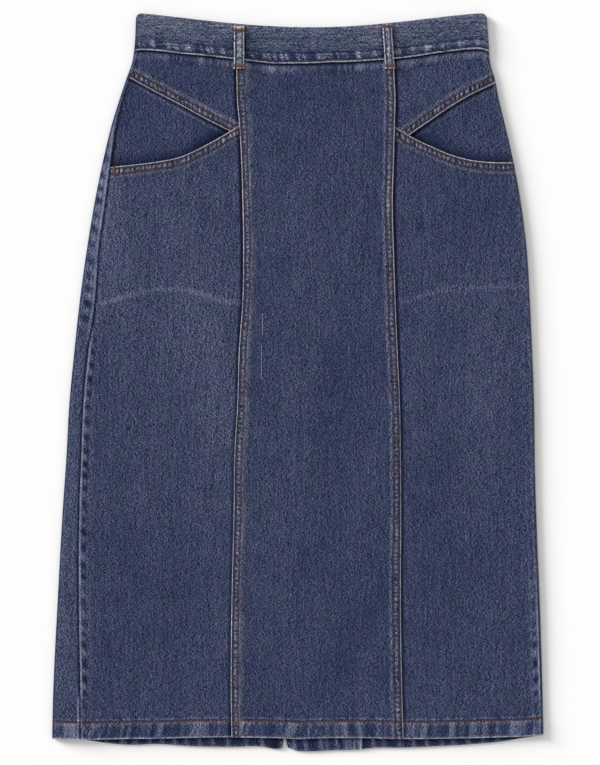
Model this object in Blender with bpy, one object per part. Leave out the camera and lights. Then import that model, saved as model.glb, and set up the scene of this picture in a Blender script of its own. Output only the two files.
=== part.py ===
"""A straight denim midi skirt, laid flat on its back.

X runs across the skirt, +Y from the hem up to the waist, and +Z up from the surface it lies on.
The origin is at the middle of the skirt, on that surface.  Sizes are in millimetres, and a "drop"
is a distance down from the waistband's top corners.  Left and right are as seen from above.
"""
import math
from collections import namedtuple

import bmesh
import bpy
import numpy as np

MM = 0.001

# Driving dimensions.
LENGTH = 805.5              # waistband's top corners to the lowest point of the back hem
DENIM = 1.2                 # one layer of cloth
SEAM_GAP = 0.3              # clearance between two pieces that are sewn edge to edge
LAYER_GAP = 0.4             # clearance between two pieces that lie on each other
FRONT_HEIGHT = 5.0          # usual height of the front's outer face above the surface
HEM_LIFT = 0.5              # the front is this much higher over the thick back hem
HEM_LIFT_START = 735.0      # drops between which it rises
HEM_LIFT_END = 770.0
EDGE_ROLL = 0.45            # how much a folded edge rounds off, on each face
EDGE_ROLL_WIDTH = 0.9

# Raised bands, where seam allowances and hems double the cloth.
SEAM_BAND = 10.0            # centre panel's turned edges
SEAM_RISE = 1.0
MOUTH_BAND = 8.5            # pocket mouth and yoke edge
MOUTH_RISE = 0.9
HEM_BAND = 18.5
HEM_RISE = 0.8
HEM_WALL = 2.5              # three layers in the front hem
BACK_HEM_RISE = 1.1
BAND_SLOPE = 1.6            # width over which a band falls back to one layer
CROSSING_SHARE = 0.4        # where two bands cross, this much of the lower one adds to the higher
SIDE_RIDGE = 0.6            # felled side seam
SIDE_RIDGE_WIDTH = 6.5
SIDE_RIDGE_SWAP = 350.0     # above this drop the ridge is on the back panel, below on the front
SIDE_RIDGE_FADE = 15.0      # half the length over which it swaps

# Waistband and belt loops.
WAIST_MID = 16.0            # x of the waist's middle
WAIST_HALF = 191.0
WAIST_DIP = 15.5            # the top edge's middle lies this far below its corners
WAISTBAND_WALL = 2.6        # two layers and the seam allowance between them
WAISTBAND_RISE = 1.4        # how far the band stands above the panels below it
WAISTBAND_LEFT = 40.5       # height of the band at its left and right ends
WAISTBAND_RIGHT = 37.5
WAISTBAND_TURNED = 5.0      # width of the finer rows along its two edges
LOOP_TOP = 14.5             # drop of a belt loop's ends
LOOP_END = 61.0
LOOP_WALL = 1.6
LOOP_CLEAR = 1.7            # how far the strap bridges clear of the waistband
LOOP_TURN = 7.0             # length of the sewn end at the top and at the bottom
LOOP_TURN_SLOPE = 2.0       # length over which a turned-under end thins out
LOOP_RAMP = 7.0             # length over which the strap comes down to a sewn end
LOOP_TURN_WALL = 0.7        # the turned-under ends are thicker by this much
LOOP_SELVEDGE = 0.35        # the strap's two folded edges stand above its middle
LOOP_SELVEDGE_SHARE = 0.14  # width of such an edge, as a share of the strap's width
LOOP_OVER_SEAM = (1.5, 3.5)  # distances below the waist seam between which the strap steps down

# Pockets.
BAG_WALL = 1.0
BAG_TUCK = 8.0              # the facing goes on under the yoke by this much
BAG_CLEAR = 2.0             # the bag's inner side stays this far from the front seam
FACING_LIFT = 0.9           # between yoke and mouth the facing comes up almost level with them
FACING_SLOPE = (1, 10)      # distances from either edge between which it does
BAG_RISE = 0.5              # the bag lifts the side panel that lies on it
BAG_SLOPE_TOP = 10.0        # lengths over which that starts below the mouth and stops at the bag's end
BAG_SLOPE_END = 7.0

# Back.
HIP_ROWS = (0, 3, 14, 25, 36, 48, 60, 72, 84, 98, 112)      # closer rows where the hip curves
CENTRE_BACK_TOP = 14.5      # x of the centre back seam at the waist and at the hem
CENTRE_BACK_HEM = -14.5
BACK_SPREAD_TOP = 62.0      # centre back to the back panels' seams
BACK_SPREAD_HEM = 85.0
BACK_SEAM_RISE = 0.7        # bands on the back panels' inner faces
BACK_SEAM_BAND = 9.0
VENT_RISE = 0.8
VENT_TOP = 570.0            # drop of the top of the slit in the centre back seam
VENT_OPEN = 4.4             # width of the slit at the hem
VENT_BAND = 12.0
VENT_LEAD = 8.0             # its folded edges thin out over this length above the slit
ZIP_TOP = 62.0
ZIP_END = 240.0
ZIP_WIDTH = 24.0
ZIP_WALL = 1.0
COIL_WIDTH = 2.4
COIL_RISE = 0.35

# How finely the pieces are divided.
PASSES = 14                 # a grid's two sets of slanted lines settle in this many passes
FOLD_STEPS = 7              # steps round half a turn of a side fold
FLOOR_SHARES = (0.0, 0.08, 0.3, 0.5, 0.66, 0.8, 0.9, 1.0)   # columns of a back panel under the skirt
LAP_SHARES = (0.0, 0.35, 0.7, 1.0)                          # and on its strip that laps to the front
LAP_RAMP = 0.35             # share of that strip over which it leaves the fold's round
BAND_FLOOR_COLUMNS = 13     # columns of the waistband under the skirt, on each side, and in front
BAND_FRONT_COLUMNS = 25
BAND_FOLD_STEPS = 6
LOOP_SHARES = (-0.5, -0.42, -0.3, 0.0, 0.3, 0.42, 0.5)      # columns across a belt loop

# The outline and the front seams: each side's lap is how far the back shows beyond its side seam.
Section = namedtuple("Section", "drop left_edge left_lap left_seam right_seam right_lap right_edge")
SECTIONS = (
    Section(0, -175, 3, -68.5, 105, 3, 206),
    Section(41.5, -177.5, 3, -68, 105, 3, 208.5),
    Section(52.5, -179.5, 3, -67, 105, 3, 209),
    Section(73, -187, 3, -66.5, 105.5, 3, 215.5),
    Section(95, -194.5, 3.2, -65.5, 106.5, 3, 220.5),
    Section(116.5, -201, 4.8, -64, 106, 3, 225.5),
    Section(160, -212, 9.3, -61, 104.5, 3, 235),
    Section(204, -220.5, 12, -59, 103, 3, 242.5),
    Section(258.5, -229, 12.8, -58.5, 104.5, 3, 249.5),
    Section(313, -237, 15.5, -60.5, 107.5, 3, 252.5),
    Section(367.5, -242.5, 14.5, -64, 109.5, 3, 255.5),
    Section(422, -248, 14.6, -66, 111, 3, 257.5),
    Section(531, -255.5, 17.4, -68.5, 112.5, 3.5, 260),
    Section(640, -261, 23, -71.5, 114, 4.5, 263),
    Section(749, -266.5, 31, -71, 115.5, 5.5, 266.5),
    Section(806, -267.5, 32.5, -70.5, 116.5, 5.5, 267.5),
)

# Drops of three lines across each hip: the yoke's lower edge, the pocket mouth and the bag's end.
HipLine = namedtuple("HipLine", "x yoke_edge mouth bag")
LEFT_HIP = (
    HipLine(-224, 48, 171, 319.5),
    HipLine(-198, 62, 168, 312),
    HipLine(-171.5, 76.5, 165, 304),
    HipLine(-150, 88.5, 162, 301),
    HipLine(-128, 100.5, 157, 301.5),
    HipLine(-106.5, 112.5, 146.5, 305.5),
    HipLine(-90, 121, 137.5, 311.5),
    HipLine(-58.5, 136, 119.5, 316),
)
RIGHT_HIP = (
    HipLine(98.5, 150.5, 118.5, 316),
    HipLine(111.5, 141, 126.5, 315),
    HipLine(128, 129, 136.5, 311),
    HipLine(144.5, 117.5, 145, 305),
    HipLine(166, 102.5, 155, 301),
    HipLine(188, 89, 161, 299.5),
    HipLine(210, 78, 162.5, 298.5),
    HipLine(253.5, 56.5, 162, 297.5),
)

# Drops of the two hems, which part in the middle and meet at the sides.
HemLine = namedtuple("HemLine", "x front back")
HEMS = (
    HemLine(-268, 791, 791),
    HemLine(-234, 792, 792),
    HemLine(-154, 790.5, 797),
    HemLine(-71.5, 788.5, 799.5),
    HemLine(-38.5, 789.5, 801),
    HemLine(-19, 790.5, 803),
    HemLine(-12.5, 790.5, 800.5),
    HemLine(-1.5, 791, 804),
    HemLine(12.5, 791.5, 805.5),
    HemLine(41, 792, 804),
    HemLine(69, 791.5, 803),
    HemLine(72.5, 791, 801),
    HemLine(116, 790, 800.5),
    HemLine(192.5, 790, 796.5),
    HemLine(243.5, 789, 790.5),
    HemLine(268, 787.5, 787.5),
)

# Soft swells and troughs of the front: middle, half length, half width, height, turn in degrees.
Fold = namedtuple("Fold", "x y length width height turn")
FOLDS = (
    Fold(3, 11, 260, 34, 0.7, 2),
    Fold(36, -63, 120, 26, -0.6, -4),
    Fold(-101, 35, 130, 30, 0.7, 12),
    Fold(-100, -122, 90, 30, 0.5, -8),
    Fold(-128, -237, 110, 40, -0.6, -15),
    Fold(205, 8, 120, 28, 0.7, -6),
    Fold(172, -193, 110, 40, -0.6, 8),
    Fold(57, -292, 75, 20, -0.6, -28),
    Fold(188, 182, 70, 30, -0.4, 10),
)

Loop = namedtuple("Loop", "name x width lean")
LOOPS = (
    Loop("belt_loop_left", -63.2, 12.0, 0.0),
    Loop("belt_loop_right", 97.3, 10.8, 3.5),
)

Side = namedtuple("Side", "name sign hip")
SIDES = (Side("left", -1, LEFT_HIP), Side("right", 1, RIGHT_HIP))

DENIM_BLUE = (0.044, 0.053, 0.105)
FADED_BLUE = (0.075, 0.086, 0.135)
POCKET_BLUE = (0.036, 0.044, 0.092)
ZIP_BLUE = (0.018, 0.022, 0.045)


# ---------------------------------------------------------------- lines and heights

def curve(table, key, column):
    """A smooth line through two columns of a table, with each slope taken from its neighbours."""
    at = np.array([getattr(row, key) for row in table], float)
    value = np.array([getattr(row, column) for row in table], float)
    slope = np.gradient(value, at)

    def line(place):
        place = np.clip(place, at[0], at[-1])
        i = np.clip(np.searchsorted(at, place, side="right") - 1, 0, len(at) - 2)
        span = at[i + 1] - at[i]
        t = (place - at[i]) / span
        start = value[i] * (1 + 2 * t) * (1 - t) ** 2 + slope[i] * span * t * (1 - t) ** 2
        end = value[i + 1] * (3 - 2 * t) * t ** 2 - slope[i + 1] * span * (1 - t) * t ** 2
        return start + end

    return line


def step(value, start, end):
    """0 before start, 1 after end, and a soft slope between them."""
    t = np.clip((value - start) / (end - start), 0, 1)
    return t * t * (3 - 2 * t)


def band(distance, width):
    """1 on a raised band along an edge, 0 beyond it."""
    return 1 - step(distance, width, width + BAND_SLOPE)


def roll(distance):
    """How much a folded edge rounds off at a distance from it."""
    t = np.clip(1 - distance / EDGE_ROLL_WIDTH, 0, 1)
    return EDGE_ROLL * t * t


outline = {name: curve(SECTIONS, "drop", name) for name in Section._fields[1:]}
front_hem = curve(HEMS, "x", "front")
back_hem = curve(HEMS, "x", "back")
hips = {side.name: {name: curve(side.hip, "x", name) for name in HipLine._fields[1:]} for side in SIDES}


def waist_arch(x):
    """0 at the waist's ends, 1 at its middle."""
    u = np.clip((x - WAIST_MID) / WAIST_HALF, -1, 1)
    return np.cos(u * math.pi / 2)


def waist_top(x):
    return WAIST_DIP * waist_arch(x) ** 1.15


def waist_seam(x):
    """Drop of the seam between the waistband and the panels."""
    share = np.clip((x - WAIST_MID) / WAIST_HALF, -1, 1) / 2 + 0.5
    ends = WAISTBAND_LEFT + (WAISTBAND_RIGHT - WAISTBAND_LEFT) * share
    return ends + WAIST_DIP * waist_arch(x) ** 1.5


def side_seam(side, drop):
    return outline[side.name + "_edge"](drop) - side.sign * outline[side.name + "_lap"](drop)


def front_seam(side, drop):
    return outline[side.name + "_seam"](drop)


def centre_back(drop):
    return CENTRE_BACK_TOP + (CENTRE_BACK_HEM - CENTRE_BACK_TOP) * drop / LENGTH


def back_seam(side, drop):
    spread = BACK_SPREAD_TOP + (BACK_SPREAD_HEM - BACK_SPREAD_TOP) * (drop / LENGTH) ** 0.6
    return centre_back(drop) + side.sign * spread


def vent_half(drop):
    """Half the gap between the two back panels at the centre back seam and its slit."""
    opening = np.clip((drop - VENT_TOP) / (LENGTH - VENT_TOP), 0, 1)
    return SEAM_GAP / 2 + (VENT_OPEN - SEAM_GAP) / 2 * opening


def lie(x, drop):
    """Height of the front's outer face, one layer thick, with its soft folds."""
    height = FRONT_HEIGHT + HEM_LIFT * step(drop, HEM_LIFT_START, HEM_LIFT_END)
    y = LENGTH / 2 - drop
    for fold in FOLDS:
        turn = math.radians(fold.turn)
        across = (x - fold.x) * math.cos(turn) + (y - fold.y) * math.sin(turn)
        along = (y - fold.y) * math.cos(turn) - (x - fold.x) * math.sin(turn)
        height = height + fold.height * np.exp(-(across / fold.width) ** 2 - (along / fold.length) ** 2)
    return height


def ridge_in_front(drop):
    """0 where the side seam's ridge lies on the back panel, 1 where it lies on the front panel."""
    return step(drop, SIDE_RIDGE_SWAP - SIDE_RIDGE_FADE, SIDE_RIDGE_SWAP + SIDE_RIDGE_FADE)


def fold_radius(side, drop, rise):
    """Half the stack's height just inside the fold at one side of the skirt."""
    edge = outline[side.name + "_edge"](drop)
    return (lie(edge - side.sign * FRONT_HEIGHT / 2, drop) + rise) / 2


# ---------------------------------------------------------------- from lines to solids

def stations(near, far, between):
    """Places over a width, as fixed distances and shares of the width: a row of each for every place."""
    shares = np.linspace(0, 1, between + 2)[1:-1]
    fixed = list(near) + [near[-1] * (1 - t) - far[-1] * t for t in shares] + [-d for d in reversed(far)]
    share = [0.0] * len(near) + list(shares) + [1.0] * len(far)
    return np.array(fixed), np.array(share)


def panel_grid(left, right, top, bottom, across, along):
    """x and drop of a panel's points, between two lines over the drop and two lines over x."""
    fixed_x, share_x = across
    fixed_y, share_y = along[0][:, None], along[1][:, None]
    drop = np.full((len(along[0]), len(fixed_x)), LENGTH / 2)
    for _ in range(PASSES):
        x = left(drop) + fixed_x + share_x * (right(drop) - left(drop))
        drop = top(x) + fixed_y + share_y * (bottom(x) - top(x))
    return x, drop


def points(x, drop, z):
    return np.stack([x, LENGTH / 2 - drop, z], axis=-1)


def material(name, colour, roughness):
    found = bpy.data.materials.get(name)
    if found:
        return found
    made = bpy.data.materials.new(name)
    made.use_nodes = True
    shader = made.node_tree.nodes["Principled BSDF"]
    shader.inputs["Base Color"].default_value = (*colour, 1.0)
    shader.inputs["Roughness"].default_value = roughness
    return made


def cloth(name, outer, inner, colour=DENIM_BLUE, finish="denim"):
    """A closed wall between two grids of points, rows by columns."""
    rows, columns = outer.shape[:2]
    mesh = bmesh.new()
    skins = []
    for grid in (outer, inner):
        skins.append([[mesh.verts.new(point) for point in row] for row in (grid * MM).tolist()])
    for skin in skins:
        for i in range(rows - 1):
            for j in range(columns - 1):
                mesh.faces.new((skin[i][j], skin[i][j + 1], skin[i + 1][j + 1], skin[i + 1][j]))
    rim = [(0, j) for j in range(columns)]
    rim += [(i, columns - 1) for i in range(1, rows)]
    rim += [(rows - 1, j) for j in range(columns - 2, -1, -1)]
    rim += [(i, 0) for i in range(rows - 2, 0, -1)]
    for (i, j), (k, m) in zip(rim, rim[1:] + rim[:1]):
        mesh.faces.new((skins[0][i][j], skins[0][k][m], skins[1][k][m], skins[1][i][j]))
    bmesh.ops.recalc_face_normals(mesh, faces=mesh.faces)
    data = bpy.data.meshes.new(name)
    mesh.to_mesh(data)
    mesh.free()
    data.shade_smooth()
    data.set_sharp_from_angle(angle=math.radians(40))
    data.materials.append(material(finish, colour, 0.9))
    made = bpy.data.objects.new(name, data)
    bpy.context.scene.collection.objects.link(made)
    return made


# ---------------------------------------------------------------- front panels

def front_centre():
    """The middle panel, whose two turned edges stand above the panels beside it."""
    left, right = SIDES
    x, drop = panel_grid(
        lambda d: front_seam(left, d) + SEAM_GAP / 2,
        lambda d: front_seam(right, d) - SEAM_GAP / 2,
        lambda v: waist_seam(v) + SEAM_GAP / 2,
        front_hem,
        stations([0, EDGE_ROLL_WIDTH, SEAM_BAND, SEAM_BAND + BAND_SLOPE],
                 [0, EDGE_ROLL_WIDTH, SEAM_BAND, SEAM_BAND + BAND_SLOPE], 7),
        stations([0, 6], [0, EDGE_ROLL_WIDTH, HEM_BAND, HEM_BAND + BAND_SLOPE], 32))
    from_side = np.minimum(x - front_seam(left, drop), front_seam(right, drop) - x)
    from_hem = front_hem(x) - drop
    seam = SEAM_RISE * band(from_side, SEAM_BAND)
    hem = HEM_RISE * band(from_hem, HEM_BAND)
    over = lie(x, drop) + np.maximum(seam, hem) + CROSSING_SHARE * np.minimum(seam, hem)
    wall = DENIM + (HEM_WALL - DENIM - HEM_RISE) * band(from_hem, HEM_BAND)
    under = lie(x, drop) - wall
    over = over - roll(from_side) - roll(from_hem)
    cloth("front_centre", points(x, drop, over), points(x, drop, under))


def front_yoke(side):
    """A pointed hip yoke: its lower edge is turned under and topstitched."""
    hip = hips[side.name]

    def lower(v):
        return np.minimum(hip["yoke_edge"](v), hip["mouth"](v)) - SEAM_GAP / 2

    x, drop = panel_grid(
        *ordered(side, lambda d: side_seam(side, d) - side.sign * SEAM_GAP / 2,
                 lambda d: front_seam(side, d) + side.sign * SEAM_GAP / 2),
        lambda v: waist_seam(v) + SEAM_GAP / 2,
        lower,
        stations([0, 2], [0, 2], 14),
        stations([0, 3], [0, EDGE_ROLL_WIDTH, MOUTH_BAND, MOUTH_BAND + BAND_SLOPE], 3))
    from_edge = lower(x) - drop
    over = lie(x, drop) + MOUTH_RISE * band(from_edge, MOUTH_BAND) - roll(from_edge)
    cloth("front_yoke_" + side.name, points(x, drop, over), points(x, drop, lie(x, drop) - DENIM))


def pocket(side):
    """The facing that shows between yoke and mouth, going down as a bag under the side panel."""
    hip = hips[side.name]
    x, drop = panel_grid(
        *ordered(side, lambda d: side_seam(side, d) - side.sign * SEAM_GAP / 2,
                 lambda d: front_seam(side, d) + side.sign * BAG_CLEAR),
        lambda v: hip["yoke_edge"](v) - BAG_TUCK,
        hip["bag"],
        stations([0, 2], [0], 11),
        stations([0, BAG_TUCK, 2 * BAG_TUCK], [0], 14))
    below_yoke = step(drop - hip["yoke_edge"](x), *FACING_SLOPE)
    above_mouth = step(hip["mouth"](x) - drop, *FACING_SLOPE)
    over = lie(x, drop) - DENIM - LAYER_GAP + FACING_LIFT * below_yoke * above_mouth
    cloth("pocket_" + side.name, points(x, drop, over), points(x, drop, over - BAG_WALL),
          POCKET_BLUE, "denim_shaded")


def front_side(side):
    """A side panel, from the curved pocket mouth down to the hem."""
    hip = hips[side.name]
    x, drop = panel_grid(
        *ordered(side, lambda d: side_seam(side, d) - side.sign * SEAM_GAP / 2,
                 lambda d: front_seam(side, d) + side.sign * SEAM_GAP / 2),
        lambda v: hip["mouth"](v) + SEAM_GAP / 2,
        front_hem,
        stations(*ordered(side, [0, SIDE_RIDGE_WIDTH, SIDE_RIDGE_WIDTH + BAND_SLOPE], [0, 3]), 9),
        stations([0, EDGE_ROLL_WIDTH, MOUTH_BAND, MOUTH_BAND + BAND_SLOPE],
                 [0, EDGE_ROLL_WIDTH, HEM_BAND, HEM_BAND + BAND_SLOPE], 26))
    from_mouth = drop - hip["mouth"](x)
    from_hem = front_hem(x) - drop
    from_side = np.abs(x - side_seam(side, drop))
    bag = step(from_mouth, 0, BAG_SLOPE_TOP) * step(hip["bag"](x) - drop, 0, BAG_SLOPE_END)
    base = lie(x, drop) + BAG_RISE * bag
    ridge = SIDE_RIDGE * band(from_side, SIDE_RIDGE_WIDTH)
    ridge = ridge * ridge_in_front(drop)
    over = base + MOUTH_RISE * band(from_mouth, MOUTH_BAND) + ridge
    over = over + HEM_RISE * band(from_hem, HEM_BAND) - roll(from_mouth) - roll(from_hem)
    wall = DENIM + (HEM_WALL - DENIM - HEM_RISE) * band(from_hem, HEM_BAND)
    cloth("front_side_" + side.name, points(x, drop, over), points(x, drop, base - wall))


def ordered(side, outer, inner):
    """Two things from the side seam and from the middle, put in order from left to right."""
    return (outer, inner) if side.sign < 0 else (inner, outer)


# ---------------------------------------------------------------- back panels

def back_face(x, drop, side):
    """Height of a back panel's inner face: the turned-up hem, the back seam and the vent's edge."""
    from_hem = back_hem(x) - drop
    from_seam = side.sign * (back_seam(side, drop) - x)
    hem = BACK_HEM_RISE * band(from_hem, HEM_BAND)
    seam = BACK_SEAM_RISE * band(from_seam, BACK_SEAM_BAND) * (from_seam > 0)
    vent = VENT_RISE * band(np.abs(x - centre_back(drop)), VENT_BAND)
    vent = vent * step(drop, VENT_TOP - VENT_LEAD, VENT_TOP)
    return DENIM + np.maximum(hem, np.maximum(seam, vent)) - roll(from_hem)


def back_centre(side):
    """An inner back panel, flat on the surface, with half of the slit at centre back."""
    x, drop = panel_grid(
        *ordered(side, lambda d: back_seam(side, d) - side.sign * SEAM_GAP / 2,
                 lambda d: centre_back(d) + side.sign * vent_half(d)),
        lambda v: waist_seam(v) + SEAM_GAP / 2,
        back_hem,
        stations(*ordered(side, [0, BACK_SEAM_BAND, BACK_SEAM_BAND + BAND_SLOPE], [0, 2, 5, VENT_BAND]), 2),
        stations([0], [0, EDGE_ROLL_WIDTH, HEM_BAND, HEM_BAND + BAND_SLOPE], 24))
    cloth("back_centre_" + side.name, points(x, drop, 0 * x), points(x, drop, back_face(x, drop, side)))


def back_side(side):
    """An outer back panel, which turns up round the fold and over the front to the side seam."""
    edge = outline[side.name + "_edge"]
    columns = [("floor", t) for t in FLOOR_SHARES]
    columns += [("turn", math.pi * k / FOLD_STEPS) for k in range(1, FOLD_STEPS)]
    columns += [("front", t) for t in LAP_SHARES]
    fixed, share = stations(HIP_ROWS, [0, EDGE_ROLL_WIDTH, HEM_BAND, HEM_BAND + BAND_SLOPE], 26)
    outer, inner = [], []
    for kind, t in columns:
        drop = np.full(len(fixed), LENGTH / 2)
        for _ in range(PASSES):
            radius = fold_radius(side, drop, 0)
            centre = edge(drop) - side.sign * radius
            if kind == "floor":
                start = back_seam(side, drop) + side.sign * SEAM_GAP / 2
                x, hem = start + (centre - start) * t, back_hem
            elif kind == "turn":
                x, hem = centre + side.sign * radius * np.sin(t), front_hem
            else:
                x = centre + (side_seam(side, drop) + side.sign * SEAM_GAP / 2 - centre) * t
                hem = front_hem
            top = waist_seam(x) + SEAM_GAP / 2
            drop = top + fixed + share * (hem(x) - top)
        if kind == "floor":
            outer.append(points(x, drop, 0 * x))
            inner.append(points(x, drop, back_face(x, drop, side)))
        elif kind == "turn":
            bore = radius - DENIM
            inner_x = centre + side.sign * bore * np.sin(t)
            outer.append(points(x, drop, radius - radius * np.cos(t)))
            inner.append(points(inner_x, drop, radius - bore * np.cos(t)))
        else:
            ridge = SIDE_RIDGE * band(np.abs(x - side_seam(side, drop)), SIDE_RIDGE_WIDTH)
            hem_rise = HEM_RISE * band(front_hem(x) - drop, HEM_BAND)
            ramp = step(t, 0, LAP_RAMP)
            height = 2 * radius + (lie(x, drop) - 2 * radius) * ramp
            rise = (ridge * (1 - ridge_in_front(drop)) + hem_rise) * ramp
            outer.append(points(x, drop, height + rise))
            inner.append(points(x, drop, height - DENIM))
    cloth("back_side_" + side.name, np.stack(outer, axis=1), np.stack(inner, axis=1))


def back_zip():
    """A concealed zip on the inside of the centre back seam: two tapes and the coil between them."""
    tape = [0, (ZIP_WIDTH - COIL_WIDTH) / 2 - 1, (ZIP_WIDTH - COIL_WIDTH) / 2]
    x, drop = panel_grid(
        lambda d: centre_back(d) - ZIP_WIDTH / 2,
        lambda d: centre_back(d) + ZIP_WIDTH / 2,
        lambda v: ZIP_TOP + 0 * v,
        lambda v: ZIP_END + 0 * v,
        stations(tape, tape, 0),
        stations([0], [0], 4))
    low = DENIM + LAYER_GAP
    coil = COIL_RISE * (np.abs(x - centre_back(drop)) < COIL_WIDTH / 2 + SEAM_GAP)
    over = low + ZIP_WALL + coil
    cloth("back_zip", points(x, drop, over), points(x, drop, low + 0 * x), ZIP_BLUE, "zip_tape")


# ---------------------------------------------------------------- waistband and loops

def waistband():
    """One strip, folded double: from centre back round the left fold, the front and the right fold."""
    edge = [0, EDGE_ROLL_WIDTH, WAISTBAND_TURNED]
    rows, share = stations(edge, edge, 2)
    left, right = SIDES
    turns = [math.pi * k / BAND_FOLD_STEPS for k in range(1, BAND_FOLD_STEPS)]
    columns = [(left, "floor", t) for t in np.linspace(0, 1, BAND_FLOOR_COLUMNS)]
    columns += [(left, "turn", t) for t in turns]
    columns += [(left, "front", t) for t in np.linspace(0, 1, BAND_FRONT_COLUMNS)]
    columns += [(right, "turn", t) for t in reversed(turns)]
    columns += [(right, "floor", t) for t in np.linspace(1, 0, BAND_FLOOR_COLUMNS)]
    outer, inner = [], []
    for side, kind, t in columns:
        drop = np.full(len(rows), WAISTBAND_LEFT / 2)
        for _ in range(PASSES):
            radius = fold_radius(side, drop, WAISTBAND_RISE)
            centre = outline[side.name + "_edge"](drop) - side.sign * radius
            if kind == "floor":
                start = centre_back(drop) + side.sign * SEAM_GAP
                x = start + (centre - start) * t
            elif kind == "turn":
                x = centre + side.sign * radius * np.sin(t)
            else:
                far = outline["right_edge"](drop) - fold_radius(right, drop, WAISTBAND_RISE)
                x = centre + (far - centre) * t
            top = waist_top(x)
            drop = top + rows + share * (waist_seam(x) - SEAM_GAP / 2 - top)
        rim = roll(np.minimum(drop - waist_top(x), waist_seam(x) - SEAM_GAP / 2 - drop))
        if kind == "floor":
            outer.append(points(x, drop, rim))
            inner.append(points(x, drop, WAISTBAND_WALL - rim))
        elif kind == "turn":
            face, bore = radius - rim, radius - WAISTBAND_WALL + rim
            outer.append(points(centre + side.sign * face * np.sin(t), drop, radius - face * np.cos(t)))
            inner.append(points(centre + side.sign * bore * np.sin(t), drop, radius - bore * np.cos(t)))
        else:
            height = lie(x, drop) + WAISTBAND_RISE
            outer.append(points(x, drop, height - rim))
            inner.append(points(x, drop, height - WAISTBAND_WALL + rim))
    cloth("waistband", np.stack(outer, axis=1), np.stack(inner, axis=1), FADED_BLUE, "denim_faded")


def belt_loop(loop):
    """A folded strap that bridges the waistband, with both ends turned under and sewn down."""
    length = LOOP_END - LOOP_TOP
    ends = [0, EDGE_ROLL_WIDTH, LOOP_TURN - LOOP_TURN_SLOPE, LOOP_TURN]
    fixed, part = stations(ends, ends, 5)
    across = loop.width * np.array(LOOP_SHARES)
    share = np.repeat((fixed / length + part)[:, None], len(across), axis=1)
    drop = LOOP_TOP + length * share
    x = loop.x + loop.lean * share + across[None, :]
    seam = waist_seam(np.full_like(x, loop.x))
    below_seam = step(drop - seam, *LOOP_OVER_SEAM)
    base = lie(x, drop) + WAISTBAND_RISE + (SEAM_RISE - WAISTBAND_RISE) * below_seam
    sewn = LOOP_TURN - LOOP_TURN_SLOPE
    clear = step(drop - LOOP_TOP, sewn, sewn + LOOP_RAMP)
    clear = clear * step(LOOP_END - drop, LOOP_TURN, LOOP_TURN + LOOP_RAMP)
    low = base + LAYER_GAP + LOOP_CLEAR * clear
    wall = LOOP_WALL + LOOP_TURN_WALL * (1 - clear)
    from_edge = loop.width / 2 - np.abs(across)
    wall = wall + LOOP_SELVEDGE * band(from_edge, LOOP_SELVEDGE_SHARE * loop.width) - roll(from_edge)
    wall = wall - roll(np.minimum(drop - LOOP_TOP, LOOP_END - drop))
    cloth(loop.name, points(x, drop, low + wall), points(x, drop, low), FADED_BLUE, "denim_faded")


# ---------------------------------------------------------------- the skirt

for old in list(bpy.data.objects):
    bpy.data.objects.remove(old, do_unlink=True)

front_centre()
for each in SIDES:
    front_yoke(each)
    pocket(each)
    front_side(each)
    back_centre(each)
    back_side(each)
back_zip()
waistband()
for each in LOOPS:
    belt_loop(each)
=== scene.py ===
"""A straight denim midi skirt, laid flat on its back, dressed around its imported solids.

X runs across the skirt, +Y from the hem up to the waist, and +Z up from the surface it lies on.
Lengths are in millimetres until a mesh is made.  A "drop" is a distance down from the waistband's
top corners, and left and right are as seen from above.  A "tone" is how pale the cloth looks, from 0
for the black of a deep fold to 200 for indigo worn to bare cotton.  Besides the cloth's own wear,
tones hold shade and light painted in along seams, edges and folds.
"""
import math
from collections import namedtuple
from functools import partial

import bpy
import numpy as np
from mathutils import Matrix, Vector


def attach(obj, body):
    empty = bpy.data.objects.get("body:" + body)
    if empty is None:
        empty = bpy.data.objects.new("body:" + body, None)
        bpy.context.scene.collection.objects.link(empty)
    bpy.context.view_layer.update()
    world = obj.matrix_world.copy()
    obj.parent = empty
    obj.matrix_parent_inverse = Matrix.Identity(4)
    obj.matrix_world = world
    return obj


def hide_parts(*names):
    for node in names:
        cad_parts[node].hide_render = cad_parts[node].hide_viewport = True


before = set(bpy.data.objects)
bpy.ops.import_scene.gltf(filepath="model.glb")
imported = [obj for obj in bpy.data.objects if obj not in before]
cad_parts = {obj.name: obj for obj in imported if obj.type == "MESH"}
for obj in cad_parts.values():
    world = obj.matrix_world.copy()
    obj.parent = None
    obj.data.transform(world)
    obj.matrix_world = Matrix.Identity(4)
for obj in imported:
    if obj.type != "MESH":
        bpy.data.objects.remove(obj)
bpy.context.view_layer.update()  # one body, "root", and a node for each sewn piece

# ---------------------------------------------------------------- the studio
# Not part of the skirt: a white paper floor under a broad overcast light, and a soft even light from
# the left, low enough to draw the seams and to throw a short soft shadow to the right.

MM = 0.001
VIEW_MIDDLE = 2.7  # x of the middle of the camera's view
VIEW_HEIGHT = 833.85  # what the frame's long side takes in at the skirt's upper face
CAMERA_HEIGHT = 3200.0  # above the skirt's upper face
UPPER_FACE = 5.5
SENSOR = 36.0
FLOOR_Z = -0.2
FLOOR_HALF = 4500.0
LIGHT_FROM = (-1700.0, 1000.0, 610.0)
LIGHT_STRENGTH = 4.6
LIGHT_SPREAD = 0.44  # radians: the softness of its shadows
SKY_STRENGTH = 0.605
GRAIN_DEPTH = 0.0002  # metres: how deep the finest relief of a surface looks


def linear(code):
    """An sRGB hex colour as linear numbers."""
    values = [int(code[i:i + 2], 16) / 255 for i in (1, 3, 5)]
    return [v / 12.92 if v <= 0.04045 else ((v + 0.055) / 1.055) ** 2.4 for v in values] + [1.0]


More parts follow.
